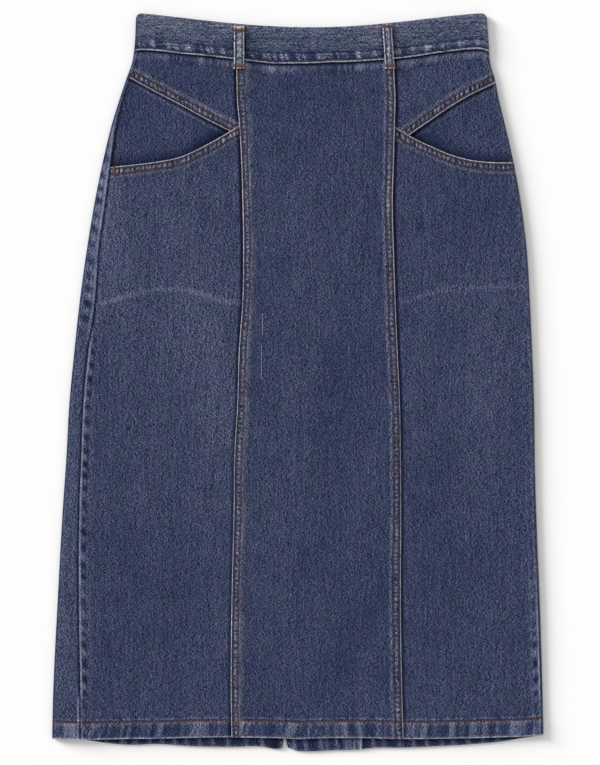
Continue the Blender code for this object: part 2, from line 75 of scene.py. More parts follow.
def add(tree, kind, links=None, **settings):
    """Adds a node. Its inputs take plain values, other nodes' sockets, or nodes for their first socket."""
    made = tree.nodes.new(kind if "Node" in kind else "ShaderNode" + kind)
    for name, value in settings.items():
        setattr(made, name, value)
    for key, source in (links or {}).items():
        source = source.outputs[0] if isinstance(source, bpy.types.Node) else source
        if isinstance(source, bpy.types.NodeSocket):
            tree.links.new(source, made.inputs[key])
        else:
            made.inputs[key].default_value = source
    return made


def new_material(name):
    """An empty material, and what adds its nodes."""
    made = bpy.data.materials.new(name)
    made.use_nodes = True
    made.node_tree.nodes.clear()
    return made, partial(add, made.node_tree)


def surface(node, colour, roughness, shine, grain, strength, sheen=0.0):
    """The end of every material: its colour, how it shines, and the grain that its relief follows."""
    relief = node("Bump", {"Height": grain, "Strength": strength, "Distance": GRAIN_DEPTH})
    face = node("BsdfPrincipled", {"Base Color": colour, "Roughness": roughness, "Specular IOR Level": shine,
                                   "Sheen Weight": sheen, "Normal": relief})
    node("OutputMaterial", {0: face})


def placed(name, data):
    """A new object at the origin."""
    made = bpy.data.objects.new(name, data)
    bpy.context.scene.collection.objects.link(made)
    return made


bpy.context.scene.view_settings.view_transform = "Standard"
camera = placed("camera", bpy.data.cameras.new("camera"))
camera.data.sensor_fit = "VERTICAL"
camera.data.sensor_height = SENSOR
camera.data.lens = SENSOR * CAMERA_HEIGHT / VIEW_HEIGHT
camera.data.clip_end = 50.0
camera.location = (VIEW_MIDDLE * MM, 0, (CAMERA_HEIGHT + UPPER_FACE) * MM)
bpy.context.scene.camera = camera

lamp = placed("soft_light", bpy.data.lights.new("soft_light", "SUN"))
lamp.data.angle = LIGHT_SPREAD
lamp.data.energy = LIGHT_STRENGTH
lamp.location = Vector(LIGHT_FROM) * MM
lamp.rotation_euler = (-lamp.location).to_track_quat("-Z", "Y").to_euler()

sky = bpy.data.worlds.new("overcast")
sky.use_nodes = True
overcast = sky.node_tree.nodes["Background"].inputs
overcast["Color"].default_value = linear("#fffefd")
overcast["Strength"].default_value = SKY_STRENGTH
bpy.context.scene.world = sky

floor_mesh = bpy.data.meshes.new("paper_floor")
corners = ((-1, -1), (1, -1), (1, 1), (-1, 1))
corners = [Vector((x * FLOOR_HALF, y * FLOOR_HALF, FLOOR_Z)) * MM for x, y in corners]
floor_mesh.from_pydata(corners, [], [(0, 1, 2, 3)])
paper, node = new_material("matt_white_paper")
fibres = node("TexNoise", {"Vector": node("TexCoord").outputs["Object"], "Scale": 900.0})
surface(node, linear("#fbfbfb"), 0.95, 0.1, fibres, 0.03)
floor_mesh.materials.append(paper)
placed("paper_floor", floor_mesh)

# ---------------------------------------------------------------- the front centre panel
# The middle of the front, one long piece of washed 3/1 denim twill. Its two sides are turned under
# and stitched twice down on the side panels, so they stand as puckered bands that wash paler than
# the rest, and its hem is turned up twice and stitched once.

LENGTH = 805.5  # waistband's top corners to the lowest point of the back hem
DENIM = 1.2  # one layer of cloth
SEAM_GAP = 0.3
HALF_GAP = SEAM_GAP / 2
LAYER_GAP = 0.4
FRONT_HEIGHT = 5.0  # usual height of the front's outer face above the surface
HEM_LIFT = 0.5  # the front is this much higher over the thick back hem
HEM_LIFT_START = 735.0
HEM_LIFT_END = 770.0
EDGE_ROLL = 0.45
EDGE_ROLL_WIDTH = 0.9
SEAM_BAND = 10.0  # turned edges, where the cloth is doubled
SEAM_RISE = 1.0
HEM_BAND = 19.6
HEM_RISE = 0.8
HEM_WALL = 2.5
BAND_SLOPE = 1.6
CROSSING_SHARE = 0.4
WAIST_MID = 16.0
WAIST_HALF = 191.0
WAIST_DIP = 15.5
WAISTBAND_LEFT = 40.3
WAISTBAND_RIGHT = 38.6
CENTRE_SEED = {"left": 11, "right": 21}  # what the edges' random lines start from
KNOTS = 4096  # in each of them, and cells along each side of a random patchwork
CELLS = 512
PASSES = 14  # a grid's two sets of slanted lines settle in this many passes
FINE = 1.2  # spacing of a mesh's points along worked edges, and right at them
FINEST = 0.65
FRONT_INSIDE = (4, 4)  # the hidden inner skin keeps every so many of the outer one's rows and columns
SHARP_ANGLE = 55  # degrees: sharper corners are shaded as edges

STITCH_ROWS = (2.4, 7.4)  # two rows of topstitching, from a turned edge
HEM_ROW = 18.8
PUCKER = 5.0  # pinches between the two rows
PUCKER_RISE = 0.16
ROW_DEPTH = 0.28  # the thread pulls the cloth down along a row
ROW_WIDTH = 0.95
INDIGO = 52.3  # usual tone of the washed cloth, and of its paler wrong side
WRONG_SIDE = 118.0

Section = namedtuple("Section", "drop left_edge left_lap left_seam right_seam right_lap right_edge")
SECTIONS = [Section(*row) for row in (
    (0, -176, 4, -68.5, 105, 3, 206.3), (41.5, -178.5, 4, -68, 105, 3, 209.2),
    (52.5, -180.2, 3.7, -67, 105, 3, 210), (73, -187.3, 3.3, -66.5, 106, 3, 215.5),
    (95, -194.6, 3.3, -66, 106.9, 3, 220), (116.5, -201.3, 5.1, -64, 106.3, 3, 225.2),
    (160, -212, 9.3, -61.4, 105.2, 3, 235.2), (204, -221, 12.5, -60.1, 103.9, 3, 243.3),
    (258.5, -230, 13.8, -59.2, 105.1, 3, 250.2), (313, -237.5, 17.6, -60, 106.9, 3, 253.5),
    (367.5, -243.4, 15.4, -63.9, 109.1, 3, 256), (422, -248.7, 15.2, -65.5, 111.6, 3, 258.1),
    (490, -252.6, 16.2, -69.1, 112.8, 3, 259), (531, -255.5, 17.6, -69.4, 113.1, 3, 260),
    (640, -261.7, 23, -71.9, 112.7, 3, 264.2), (749, -266.9, 30, -72.7, 114.4, 3.2, 267.6),
    (806, -268, 31.4, -71.5, 116.3, 3.4, 269),
)]

HemLine = namedtuple("HemLine", "x front back")
HEMS = [HemLine(*row) for row in (
    (-268, 791, 791), (-232, 792.2, 792.8), (-206, 791.8, 796.4), (-180, 791.2, 798),
    (-154, 791.1, 797.2), (-114.5, 790, 799.5), (-71.5, 789.5, 800.3), (-38.5, 790.1, 799.9),
    (-21, 790.4, 802.6), (-12.5, 790.8, 801), (-1.5, 791.4, 804.4), (12.5, 791, 805.2),
    (41, 790.3, 803.8), (66, 790.3, 803.3), (82, 790.6, 801.5), (116, 791.4, 801.1), (160, 791, 799.2),
    (192.5, 790.4, 797.2), (225.6, 789.4, 794), (243.5, 789, 791), (268, 787.3, 787.3),
)]

# Soft swells, creases and faded patches: middle, half length, half width, turn in degrees, how far
# the cloth rises there and how much paler it is.
Swell = namedtuple("Swell", "x y length width turn rise pale")
SWELLS = [Swell(*row) for row in (
    (3, 11, 260, 34, 2, 0.7, 3), (36, -63, 120, 26, -4, -0.6, -4), (-101, 35, 130, 30, 12, 0.7, 6),
    (-100, -122, 90, 30, -8, 0.5, 4), (-128, -237, 110, 40, -15, -0.6, -4),
    (205, 8, 120, 28, -6, 0.7, 5), (172, -193, 110, 40, 8, -0.6, -4), (57, -292, 75, 20, -28, -0.6, -5),
    (188, 182, 70, 30, 10, -0.4, -3), (-205, 165, 95, 26, 6, 0.0, 13), (-6, 297, 42, 40, 0, 0.0, -4),
    (-120, 120, 150, 60, 0, 0.0, 4), (-130, 325, 28, 45, 0, 0.0, -4), (60, 170, 90, 9, -12, 0.22, 2),
    (-18, -170, 120, 10, 6, 0.25, 2), (130, -60, 100, 10, -9, 0.22, 2),
    (-160, -150, 120, 12, 10, 0.25, 2), (-105, -330, 60, 12, -20, 0.22, 2),
    (210, -280, 90, 14, 12, 0.25, 2), (256, -380, 60, 26, 0, -0.9, 0),
)]

Side = namedtuple("Side", "name sign")
SIDES = (Side("left", -1), Side("right", 1))

# Tone across a turned edge: below 0 is the cloth beside it, in its shadow, and above 0 the edge's
# worn ridge, the two stitch rows with the pale ridge between them, and the one beyond them.
EDGE_AT = (-8, -6, -4.6, -3.4, -2.2, -0.9, -0.2, 0, 0.3, 0.7, 1.1, 1.6, 2.1, 2.75, 3.4, 4.6, 5.9, 6.7, 7.4,
           8.2, 9.2, 14, 16)
EDGE_PALE = (0, 3, 3, -11, -38, -48, -44, 66, 102, 86, 0, -38, -44, -20, 8, 28, 26, -6, -31, -14, 2, -3, 0)
# Tone below the waist seam: painted shadow of the waistband over its first 2 mm, then pale pinched puckers.
GATHER_AT = (0, 1.2, 2.2, 3.3, 5, 7, 9, 11.5, 15)
GATHER_SHADE_AND_PALLOR = (-44, -34, -8, 16, 28, 23, 13, -1, 0)
HEM_AT = (0, 0.5, 1.1, 1.8, 3, 10, 13.5, 15.6, 17.0, 17.9, 18.6, 19.4, 20.3, 21.2, 22.6, 24, 26)
HEM_PALE = (74, 114, 64, 20, 12, 10, 12, 26, 28, 6, -28, -32, -4, 18, -2, -6, -2)
# How much brown the threads have shed into the cloth in the wash, along turned edges and along the hem.
# It wears off the pale tops of the puckers, between two pallors.
TINGE_AT = (-3, -0.5, 2, 3.5, 6, 9, 10.5, 13)
TINGE = (0, 0.13, 0.15, 0.34, 0.44, 0.44, 0.28, 0)
POCKET_TINGE = 1.8  # times as much of it along the pockets
HEM_TINGE_AT = (13, 15, 16.5, 17.5, 19, 20.5, 22)
HEM_TINGE = (0, 0.25, 0.7, 0.95, 0.8, 0.45, 0)
TINGE_CLEARS = (4, 46)
TINGE_LOST = 0.9  # share that wears off, and that wears off the hem
HEM_TINGE_LOST = 0.6
WORN_RIDGE = 1.6  # the folded edge's own pale ridge, which keeps its tinge
SPECKLE = 36  # contrast and size of the specks between the rows
SPECKLE_SIZE = 1.4

# Along each princess seam: the second row's distance from the edge, how much paler its edge and the
# puckers between the rows have worn, and how deep the shade beside it is.
SeamWear = namedtuple("SeamWear", "drop second line zone shade")
SEAM_WEAR = {
    "left": [SeamWear(*row) for row in (
        (60, 8.4, 12, 6, 1.0), (110, 8.0, 8, 8, 1.0), (160, 6.9, 24, 6, 1.05),
        (250, 7.2, 20, 10, 1.0), (340, 7.6, 4, 4, 0.8), (480, 7.8, -16, 2, 0.5),
        (620, 7.5, -4, 3, 0.45), (806, 7.5, 10, 3, 0.55),
    )],
    "right": [SeamWear(*row) for row in (
        (60, 8.3, 76, 8, 1.0), (185, 7.8, 72, 20, 1.05), (250, 7.6, 56, 12, 1.0),
        (340, 7.4, 36, 4, 0.7), (480, 7.2, 8, -5, 0.5), (620, 8.3, 28, 0, 0.4),
        (806, 8.5, 28, 0, 0.5),
    )],
}


def curve(table, key, column):
    """A smooth line through two columns of a table, with each slope taken from its neighbours."""
    at = np.array([getattr(row, key) for row in table], float)
    value = np.array([getattr(row, column) for row in table], float)
    slope = np.gradient(value, at)

    def line(place):
        place = np.clip(place, at[0], at[-1])
        i = np.clip(np.searchsorted(at, place, side="right") - 1, 0, len(at) - 2)
        span = at[i + 1] - at[i]
        t = (place - at[i]) / span
        start = value[i] * (1 + 2 * t) * (1 - t) ** 2 + slope[i] * span * t * (1 - t) ** 2
        end = value[i + 1] * (3 - 2 * t) * t ** 2 - slope[i + 1] * span * (1 - t) * t ** 2
        return start + end

    return line


def step(value, start, end):
    """0 before start, 1 after end, and a soft slope between them."""
    t = np.clip((value - start) / (end - start), 0, 1)
    return t * t * (3 - 2 * t)


def band(distance, width):
    """1 on a raised band along an edge, 0 beyond it."""
    return 1 - step(distance, width, width + BAND_SLOPE)


def bump(value, middle, half_width):
    return np.exp(-((value - middle) / half_width) ** 2)


def roll(distance):
    """How much a folded edge rounds off at a distance from it."""
    t = np.clip(1 - distance / EDGE_ROLL_WIDTH, 0, 1)
    return EDGE_ROLL * t * t


def wander(place, pitch, seed):
    """A smooth random line between -1 and 1, with a knot every so many millimetres."""
    knots = np.random.default_rng(seed).uniform(-1, 1, KNOTS)
    at = np.asarray(place, float) / pitch + KNOTS // 2
    i = np.clip(np.floor(at).astype(int), 0, KNOTS - 2)
    t = at - i
    t = t * t * (3 - 2 * t)
    return knots[i] * (1 - t) + knots[i + 1] * t


def patches(x, y, size, seed):
    """Soft random patches between -1 and 1, so many millimetres apart."""
    grid = np.random.default_rng(seed).uniform(-1, 1, (CELLS, CELLS))
    u, v = np.asarray(x, float) / size, np.asarray(y, float) / size
    i, j = np.floor(u).astype(int), np.floor(v).astype(int)
    s = (u - i) ** 2 * (3 - 2 * (u - i))
    t = (v - j) ** 2 * (3 - 2 * (v - j))
    i, j, next_i, next_j = i % CELLS, j % CELLS, (i + 1) % CELLS, (j + 1) % CELLS
    low = grid[i, j] * (1 - s) + grid[next_i, j] * s
    high = grid[i, next_j] * (1 - s) + grid[next_i, next_j] * s
    return low * (1 - t) + high * t


def ridges(place, pitch, seed):
    """Narrow ridges about two pitches apart, up to 1 on a ridge and -0.5 between them."""
    ridge = np.clip(1 - 2.3 * np.abs(wander(place, pitch, seed)), 0, 1)
    return 1.5 * ridge * (0.7 + 0.3 * wander(place, 2.2 * pitch, seed + 50)) - 0.5


outline = {name: curve(SECTIONS, "drop", name) for name in Section._fields[1:]}
front_hem = curve(HEMS, "x", "front")
back_hem = curve(HEMS, "x", "back")


def waist_arch(x):
    """0 at the waist's ends, 1 at its middle."""
    u = np.clip((x - WAIST_MID) / WAIST_HALF, -1, 1)
    return np.cos(u * math.pi / 2)


def waist_top(x):
    return WAIST_DIP * waist_arch(x) ** np.where(x < WAIST_MID, 1.18, 1.4)


Sway = namedtuple("Sway", "x width drop")
SEAM_SWAYS = (Sway(-127, 12, 0.6), Sway(-28, 22, 1.3), Sway(36, 14, -0.8), Sway(118, 32, 1.3),
              Sway(-181, 6, 2.0), Sway(209, 7, 3.2))


def waist_seam(x):
    """Drop of the seam between the waistband and the panels, which sways a little."""
    share = np.clip((x - WAIST_MID) / WAIST_HALF, -1, 1) / 2 + 0.5
    ends = WAISTBAND_LEFT + (WAISTBAND_RIGHT - WAISTBAND_LEFT) * share
    sway = sum(row.drop * bump(x, row.x, row.width) for row in SEAM_SWAYS)
    return ends + WAIST_DIP * waist_arch(x) ** 1.5 + sway


def fold_edge(side, drop):
    return outline[side.name + "_edge"](drop)


def side_seam(side, drop):
    return fold_edge(side, drop) - side.sign * outline[side.name + "_lap"](drop)


def front_seam(side, drop):
    return outline[side.name + "_seam"](drop)


def under_waist(x):
    """Drop of the panels' upper edge, just below the waist seam."""
    return waist_seam(x) + HALF_GAP


def into_centre(side, x, drop):
    """Distance from a turned edge of the centre panel: above 0 on it, below 0 on the cloth beside it."""
    return side.sign * (front_seam(side, drop) - x)


def lie(x, drop):
    """Height of the front's outer face, one layer thick, with its soft folds."""
    height = FRONT_HEIGHT + HEM_LIFT * step(drop, HEM_LIFT_START, HEM_LIFT_END)
    return height + swells(x, drop, "rise")


def swells(x, drop, column):
    y = LENGTH / 2 - drop
    total = 0 * x
    for swell in SWELLS:
        turn = math.radians(swell.turn)
        across = (x - swell.x) * math.cos(turn) + (y - swell.y) * math.sin(turn)
        along = (y - swell.y) * math.cos(turn) - (x - swell.x) * math.sin(turn)
        share = np.exp(-(across / swell.width) ** 2 - (along / swell.length) ** 2)
        total = total + getattr(swell, column) * share
    return total


def washed(x, drop, seed=1):
    """Tone of the plain cloth: its faded patches and the cloudiness that washing leaves."""
    cloudy = 2.0 * patches(x, drop, 38, seed) + 2.0 * patches(x, drop, 13, seed + 1)
    return INDIGO + swells(x, drop, "pale") + cloudy


# How an edge has worn: its second row's distance, how much paler its line and the puckers between the
# rows are than usual, the depth of the shade beside it, the contrast of the puckers, and the place,
# half width and pallor of the ridge of allowance past the rows.
Worn = namedtuple("Worn", "second line zone shade beads past width pale")
SEAM_PAST = {"left": (74, 3.0, 2.6, 40), "right": (74, 2.6, 1.9, 12)}


def seam_worn(side, drop):
    table = SEAM_WEAR[side.name]
    columns = list(zip(*table))
    return Worn(*(np.interp(drop, columns[0], column) for column in columns[1:]), *SEAM_PAST[side.name])


def row_strays(place, seed):
    """How far the second row strays from its line."""
    return 0.3 * wander(place, 26, seed) + 0.15 * wander(place, 7, seed + 1)


def turned_edge(distance, place, strength, seed, edge):
    """Rise and pallor of a turned, twice stitched edge, at a distance from it and a place along it."""
    first, second = STITCH_ROWS
    found = edge.second + row_strays(place, seed)
    inner = (second - first) * np.clip((distance - first) / (found - first), 0, 1)
    distance = np.minimum(distance, first) + inner + np.maximum(distance - found, 0)
    beat = np.cos(2 * math.pi * place / PUCKER + 2.8 * wander(place, 12, seed))
    bead = 0.75 * ((1 + beat) / 2) ** 2 * (1 + 0.4 * wander(place, 7, seed + 1))
    bead = bead + 0.15 * ridges(place, 2.2, seed + 5)
    between = bump(distance, (first + second) / 2, 0.38 * (second - first)) * (distance > 0)
    rows = (bump(distance, first, ROW_WIDTH) + bump(distance, second, ROW_WIDTH)) * (distance > 0)
    ridge = bump(distance, second + edge.past, edge.width)
    rise = PUCKER_RISE * (2 * bead - 1) * between - ROW_DEPTH * rows
    rise = rise + 0.12 * ridge * (1 + wander(place, 3.0, seed + 2))
    pale = np.interp(distance, EDGE_AT, EDGE_PALE) * np.where(distance < 0, edge.shade, 1)
    uneven = 0.35 * wander(place, 4.5, seed + 6) * (1 - bump(distance, 0.4, 0.6))
    pale = pale * (1 + 0.15 * wander(place, 22, seed + 3) + uneven)
    pale = pale + edge.line * bump(distance, 0.65, 0.8) * (distance > -0.1)
    speckle = SPECKLE * patches(place, distance, SPECKLE_SIZE, seed + 9)
    pale = pale + (edge.beads * (bead - 0.3) + edge.zone + speckle) * between
    pale = pale + 14 * rows * wander(place, 1.9, seed + 7)
    worn = 1 + 0.3 * wander(place, 11, seed + 4) + 0.25 * wander(place, 2.6, seed + 8)
    return np.array([rise, strength * pale + edge.pale * ridge * worn])


def waist_gather(x, drop, seed):
    """Rise and pallor just below the waistband, where the cloth is pinched into short puckers, with the
    waistband's shadow painted dark right under it.
    """
    distance = drop - waist_seam(x)
    share = step(distance, 1.5, 4) * (1 - step(distance, 7, 14))
    pinch = ridges(x + 0.15 * distance, 3.6, seed) + 0.6 * wander(x, 7.5, seed + 1)
    pale = np.interp(distance, GATHER_AT, GATHER_SHADE_AND_PALLOR) + 32 * pinch * share
    return np.array([0.14 * pinch * share, pale])


def hem_ripple(x, distance, seed):
    """Rise and pallor of the turned-up hem, roped by slanted ripples."""
    slant = 0.25 + 0.5 * wander(x, 60, seed)
    at = x - slant * distance
    rope = ridges(at, 7.6, seed + 1) + 0.3 * wander(at, 3.4, seed + 2)
    share = step(distance, 0.5, 3) * (1 - step(distance, HEM_ROW - 2.2, HEM_ROW - 0.6))
    above = bump(distance, HEM_ROW + 3.2, 2.5) * wander(x, 3.6, seed + 3)
    rise = 0.25 * rope * share - ROW_DEPTH * bump(distance, HEM_ROW, ROW_WIDTH)
    pale = np.interp(distance, HEM_AT, HEM_PALE) * (1 + 0.3 * wander(x, 5, seed + 4))
    return np.array([rise, pale + 38 * rope * share + 14 * above])


def even(start, stop, pitch):
    """Distances from start to stop, about one pitch apart."""
    return list(np.linspace(start, stop, max(2, round((stop - start) / pitch) + 1)))


def stations(near, far, between):
    """Places over a width, as fixed distances and shares of the width: a row of each for every place."""
    shares = np.linspace(0, 1, between + 2)[1:-1]
    fixed = list(near) + [near[-1] * (1 - t) - far[-1] * t for t in shares] + [-d for d in reversed(far)]
    share = [0.0] * len(near) + list(shares) + [1.0] * len(far)
    return np.array(fixed), np.array(share)


def panel_grid(left, right, top, bottom, across, along):
    """x and drop of a panel's points, between two lines over the drop and two lines over x."""
    fixed_x, share_x = across
    fixed_y, share_y = along[0][:, None], along[1][:, None]
    drop = np.full((len(along[0]), len(fixed_x)), LENGTH / 2)
    for _ in range(PASSES):
        x = left(drop) + fixed_x + share_x * (right(drop) - left(drop))
        drop = top(x) + fixed_y + share_y * (bottom(x) - top(x))
    return x, drop


def points(x, drop, z):
    return np.stack([x, LENGTH / 2 - drop, z], axis=-1)


def kept(count, pitch, fine=()):
    """Which rows or columns of a grid its inner skin keeps: every so many, and all in the fine part."""
    return np.array(sorted({*range(0, count, pitch), count - 1, *fine}))


def shed(distance, pale):
    """How brown the cloth is along a turned edge's two rows, at a distance from it and a pallor."""
    lost = TINGE_LOST * step(pale, *TINGE_CLEARS) * (distance > WORN_RIDGE)
    return np.interp(distance, TINGE_AT, TINGE) * (1 - lost)


def hem_shed(distance, pale):
    return np.interp(distance, HEM_TINGE_AT, HEM_TINGE) * (1 - HEM_TINGE_LOST * step(pale, *TINGE_CLEARS))


def quads(grid):
    """The faces between a grid's points, from their numbers."""
    return np.stack([grid[:-1, :-1], grid[1:, :-1], grid[1:, 1:], grid[:-1, 1:]], -1).reshape(-1, 4).tolist()


def around(grid):
    """The numbers round a grid's rim."""
    return [*grid[0, :-1], *grid[:-1, -1], *grid[-1, :0:-1], *grid[:0:-1, 0]]


def shell(name, outer, inner, tones, cut, rows, columns, finish, tinge):
    """A closed wall of cloth: a fine outer grid, a coarser inner one, and the rim between them."""
    many, wide = outer.shape[:2]
    coarse = np.ix_(rows, columns)
    skin = np.arange(many * wide).reshape(many, wide)
    under = many * wide + np.arange(len(rows) * len(columns)).reshape(len(rows), len(columns))
    faces = quads(skin) + quads(under.T)
    rim, inner_rim, matching = around(skin), around(under), around(skin[coarse])
    place = {corner: k for k, corner in enumerate(rim)}
    stops = [place[corner] for corner in matching] + [len(rim)]
    rim.append(rim[0])
    inner_rim.append(inner_rim[0])
    for k in range(len(matching)):
        faces.append([*rim[stops[k]:stops[k + 1] + 1], inner_rim[k + 1], inner_rim[k]])

    def joined(over, below, *size):
        """Values at the outer grid's points, and then at the inner one's."""
        over, below = (np.broadcast_to(values, (many, wide, *size)) for values in (over, below))
        return np.concatenate([over.reshape(-1, *size), below[coarse].reshape(-1, *size)])

    data = bpy.data.meshes.new(name)
    data.from_pydata((joined(outer, inner, 3) * MM).tolist(), [], faces)
    middle = data.polygons[(many // 2) * (wide - 1) + wide // 2]
    nearest = inner[rows[np.searchsorted(rows, many // 2)], columns[np.searchsorted(columns, wide // 2)]]
    if middle.normal.dot(Vector(outer[many // 2, wide // 2] - nearest)) < 0:
        data.flip_normals()
    for key, values in (("tone", joined(*tones)), ("tinge", joined(tinge, 0.0))):
        data.attributes.new(key, "FLOAT", "POINT").data.foreach_set("value", values.astype(np.float32))
    flat = np.moveaxis(cut, 0, -1)
    flat = joined(flat, flat, 2) * MM
    corners = np.empty(len(data.loops), np.int32)
    data.loops.foreach_get("vertex_index", corners)
    data.uv_layers.new(name="cut").data.foreach_set("uv", flat[corners].reshape(-1).astype(np.float32))
    data.shade_smooth()
    data.set_sharp_from_angle(angle=math.radians(SHARP_ANGLE))
    data.materials.append(finish)
    return placed(name, data)


def sewn_piece(node, finish, outer, inner, tones, cut, rows, columns, tinge=0.0):
    """Makes a piece of cloth with its finish and its cut, puts it on its body and hides its solid."""
    piece = shell(node + "_cloth", outer, inner, tones, cut, rows, columns, finish, tinge)
    across, along = np.diff(cut, axis=2), np.diff(cut, axis=1)
    across = (across[:, 1:] + across[:, :-1]) / 2
    along = (along[:, :, 1:] + along[:, :, :-1]) / 2
    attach(piece, "root")
    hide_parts(node)


def flat_piece(node, finish, x, drop, face, under,
               lining=WRONG_SIDE, inside=FRONT_INSIDE, whole=()):
    """A piece that lies flat, from its face's height, tone and tinge and its inner face's height."""
    height, tone, tinge = face
    rows, columns = kept(len(x), inside[0], whole), kept(len(x[0]), inside[1])
    sewn_piece(node, finish, points(x, drop, height), points(x, drop, under), (tone, lining),
               np.stack([x, -drop]), rows, columns, tinge)


# Denim is a 3/1 twill of indigo warp over white weft: close to, short slanted floats of warp with
# white specks where the weft comes up, uneven because the yarn is slubby. It is drawn a little
# coarser than its real 0.4 mm yarns so that it shows. Washing bares the cotton where it stands proud.
WARP_PITCH = 0.47  # between warp yarns, and one pick of the weft
PICK_PITCH = 0.18
YARN_SWAY = 0.11  # how often to the millimetre the yarns sway aside
FLOAT_PICKS = 4
WEFT_SHARE = 0.22  # how much of the face the white weft takes, and how much paler it is
WEFT_PALE = 0.22
BALANCE_YARNS = 4  # a pale float has darker ones so many yarns on, which keeps the face even
BALANCE = 0.3
EVEN_AT = (60.0, 104.0)  # between these tones worn cloth loses most of its unevenness
EVEN_SHARE = 0.36
SLUB_LENGTH = 24.0  # a yarn is thick and pale, or thin and dark, for about so long
SLUB_STAGGER = 0.37  # of that length, from each yarn to the next
MOTTLE_SIZE = 5.0
DYE_DRIFT = 26.0  # between the patches where the indigo is a little greener or more violet
VIOLET_INDIGO = (1.07, 0.91, 1.25, 1.0)
GREEN_INDIGO = (0.84, 1.08, 0.93, 1.0)
SHED_BROWN = (1.45, 1.08, 0.82, 1.0)  # what the threads' brown does to the indigo under it
TONE_FULL = 200.0
INDIGO_RAMP = ((8, "#090a16"), (30, "#191f37"), (48, "#252f50"), (64, "#343f63"), (81, "#474f6d"),
               (107, "#696d7e"), (134, "#888890"), (165, "#a9a5aa"), (200, "#cdc7c7"))


def denim(name, floats, slubs, mottles, even_to=EVEN_SHARE, greener=0.0):
    """Washed denim: how uneven its yarn floats, its slubs and its wear are, as shares of its tone."""
    made, node = new_material(name)
    mm = node("VectorMath", {0: node("UVMap", uv_map="cut"), "Scale": 1 / MM}, operation="SCALE")
    at = node("SeparateXYZ", {0: mm}).outputs
    sway = node("TexNoise", {"Vector": mm, "Scale": YARN_SWAY, "Detail": 1.0})
    warp = node("Math", {0: at["X"], 1: 1 / WARP_PITCH, 2: sway}, operation="MULTIPLY_ADD")
    yarn = node("Math", {0: warp}, operation="FLOOR")
    start = node("Math", {0: yarn, 1: 1 / FLOAT_PICKS, 2: sway}, operation="MULTIPLY_ADD")
    pick = node("Math", {0: at["Y"], 1: 1 / (FLOAT_PICKS * PICK_PITCH), 2: start}, operation="MULTIPLY_ADD")
    which = node("Math", {0: pick}, operation="FLOOR")
    part = node("Math", {0: pick}, operation="FRACT")
    weft = node("Math", {0: part, 1: 1 - WEFT_SHARE}, operation="GREATER_THAN")
    pair = node("CombineXYZ", {0: yarn, 1: which})
    chance = node("TexWhiteNoise", {"Vector": pair}, noise_dimensions="2D")
    further = node("VectorMath", {0: pair, 1: (BALANCE_YARNS, 1, 0)}, operation="ADD")
    other = node("TexWhiteNoise", {"Vector": further}, noise_dimensions="2D")
    begins = node("Math", {0: yarn, 1: SLUB_STAGGER}, operation="MULTIPLY")
    along = node("Math", {0: at["Y"], 1: 1 / SLUB_LENGTH, 2: begins}, operation="MULTIPLY_ADD")
    stretch = node("CombineXYZ", {0: yarn, 1: node("Math", {0: along}, operation="FLOOR")})
    slub = node("TexWhiteNoise", {"Vector": stretch}, noise_dimensions="2D")
    mottle = node("TexNoise", {"Vector": mm, "Scale": 1 / MOTTLE_SIZE, "Detail": 3.0})
    uneven = -(floats * (1 - BALANCE) + slubs + mottles) / 2 - WEFT_SHARE * WEFT_PALE
    for source, amount in ((chance, floats), (other, -BALANCE * floats), (slub, slubs), (mottle, mottles),
                           (weft, WEFT_PALE)):
        uneven = node("Math", {0: source, 1: amount, 2: uneven}, operation="MULTIPLY_ADD")
    tone = node("Attribute", attribute_name="tone").outputs["Fac"]
    shows = node("MapRange", {"Value": tone, "From Min": EVEN_AT[0], "From Max": EVEN_AT[1], "To Min": 1.0,
                              "To Max": even_to})
    level = node("Math", {0: uneven, 1: shows, 2: 1.0}, operation="MULTIPLY_ADD")
    worn = node("Math", {0: tone, 1: level}, operation="MULTIPLY")
    colour = node("ValToRGB", {0: node("Math", {0: worn, 1: 1 / TONE_FULL}, operation="MULTIPLY")})
    stops = colour.color_ramp.elements
    while len(stops) < len(INDIGO_RAMP):
        stops.new(0.5)
    for stop, (value, code) in zip(stops, INDIGO_RAMP):
        stop.position = value / TONE_FULL
    for stop, (value, code) in zip(stops, INDIGO_RAMP):
        stop.color = linear(code)
    drift = node("TexNoise", {"Vector": mm, "Scale": 1 / DYE_DRIFT, "Detail": 2.0})
    lean = node("Math", {0: drift, 1: greener}, operation="ADD")
    tint = node("Mix", {"Factor": lean, 6: VIOLET_INDIGO, 7: GREEN_INDIGO}, data_type="RGBA")
    over = {"data_type": "RGBA", "blend_type": "MULTIPLY"}
    dyed = node("Mix", {"Factor": 1.0, 6: colour, 7: tint.outputs[2]}, **over)
    tinge = node("Attribute", attribute_name="tinge").outputs["Fac"]
    stained = node("Mix", {"Factor": tinge, 6: dyed.outputs[2], 7: SHED_BROWN}, **over)
    round_yarn = node("Math", {0: warp, 1: 0.5}, operation="PINGPONG")
    relief = node("Math", {0: round_yarn, 1: 1.2, 2: chance}, operation="MULTIPLY_ADD")
    relief = node("Math", {0: weft, 1: -0.5, 2: relief}, operation="MULTIPLY_ADD")
    surface(node, stained.outputs[2], 0.92, 0.12, relief, 0.35, sheen=0.04)
    return made


washed_denim = denim("washed_denim_twill", 2.1, 0.42, 0.16)


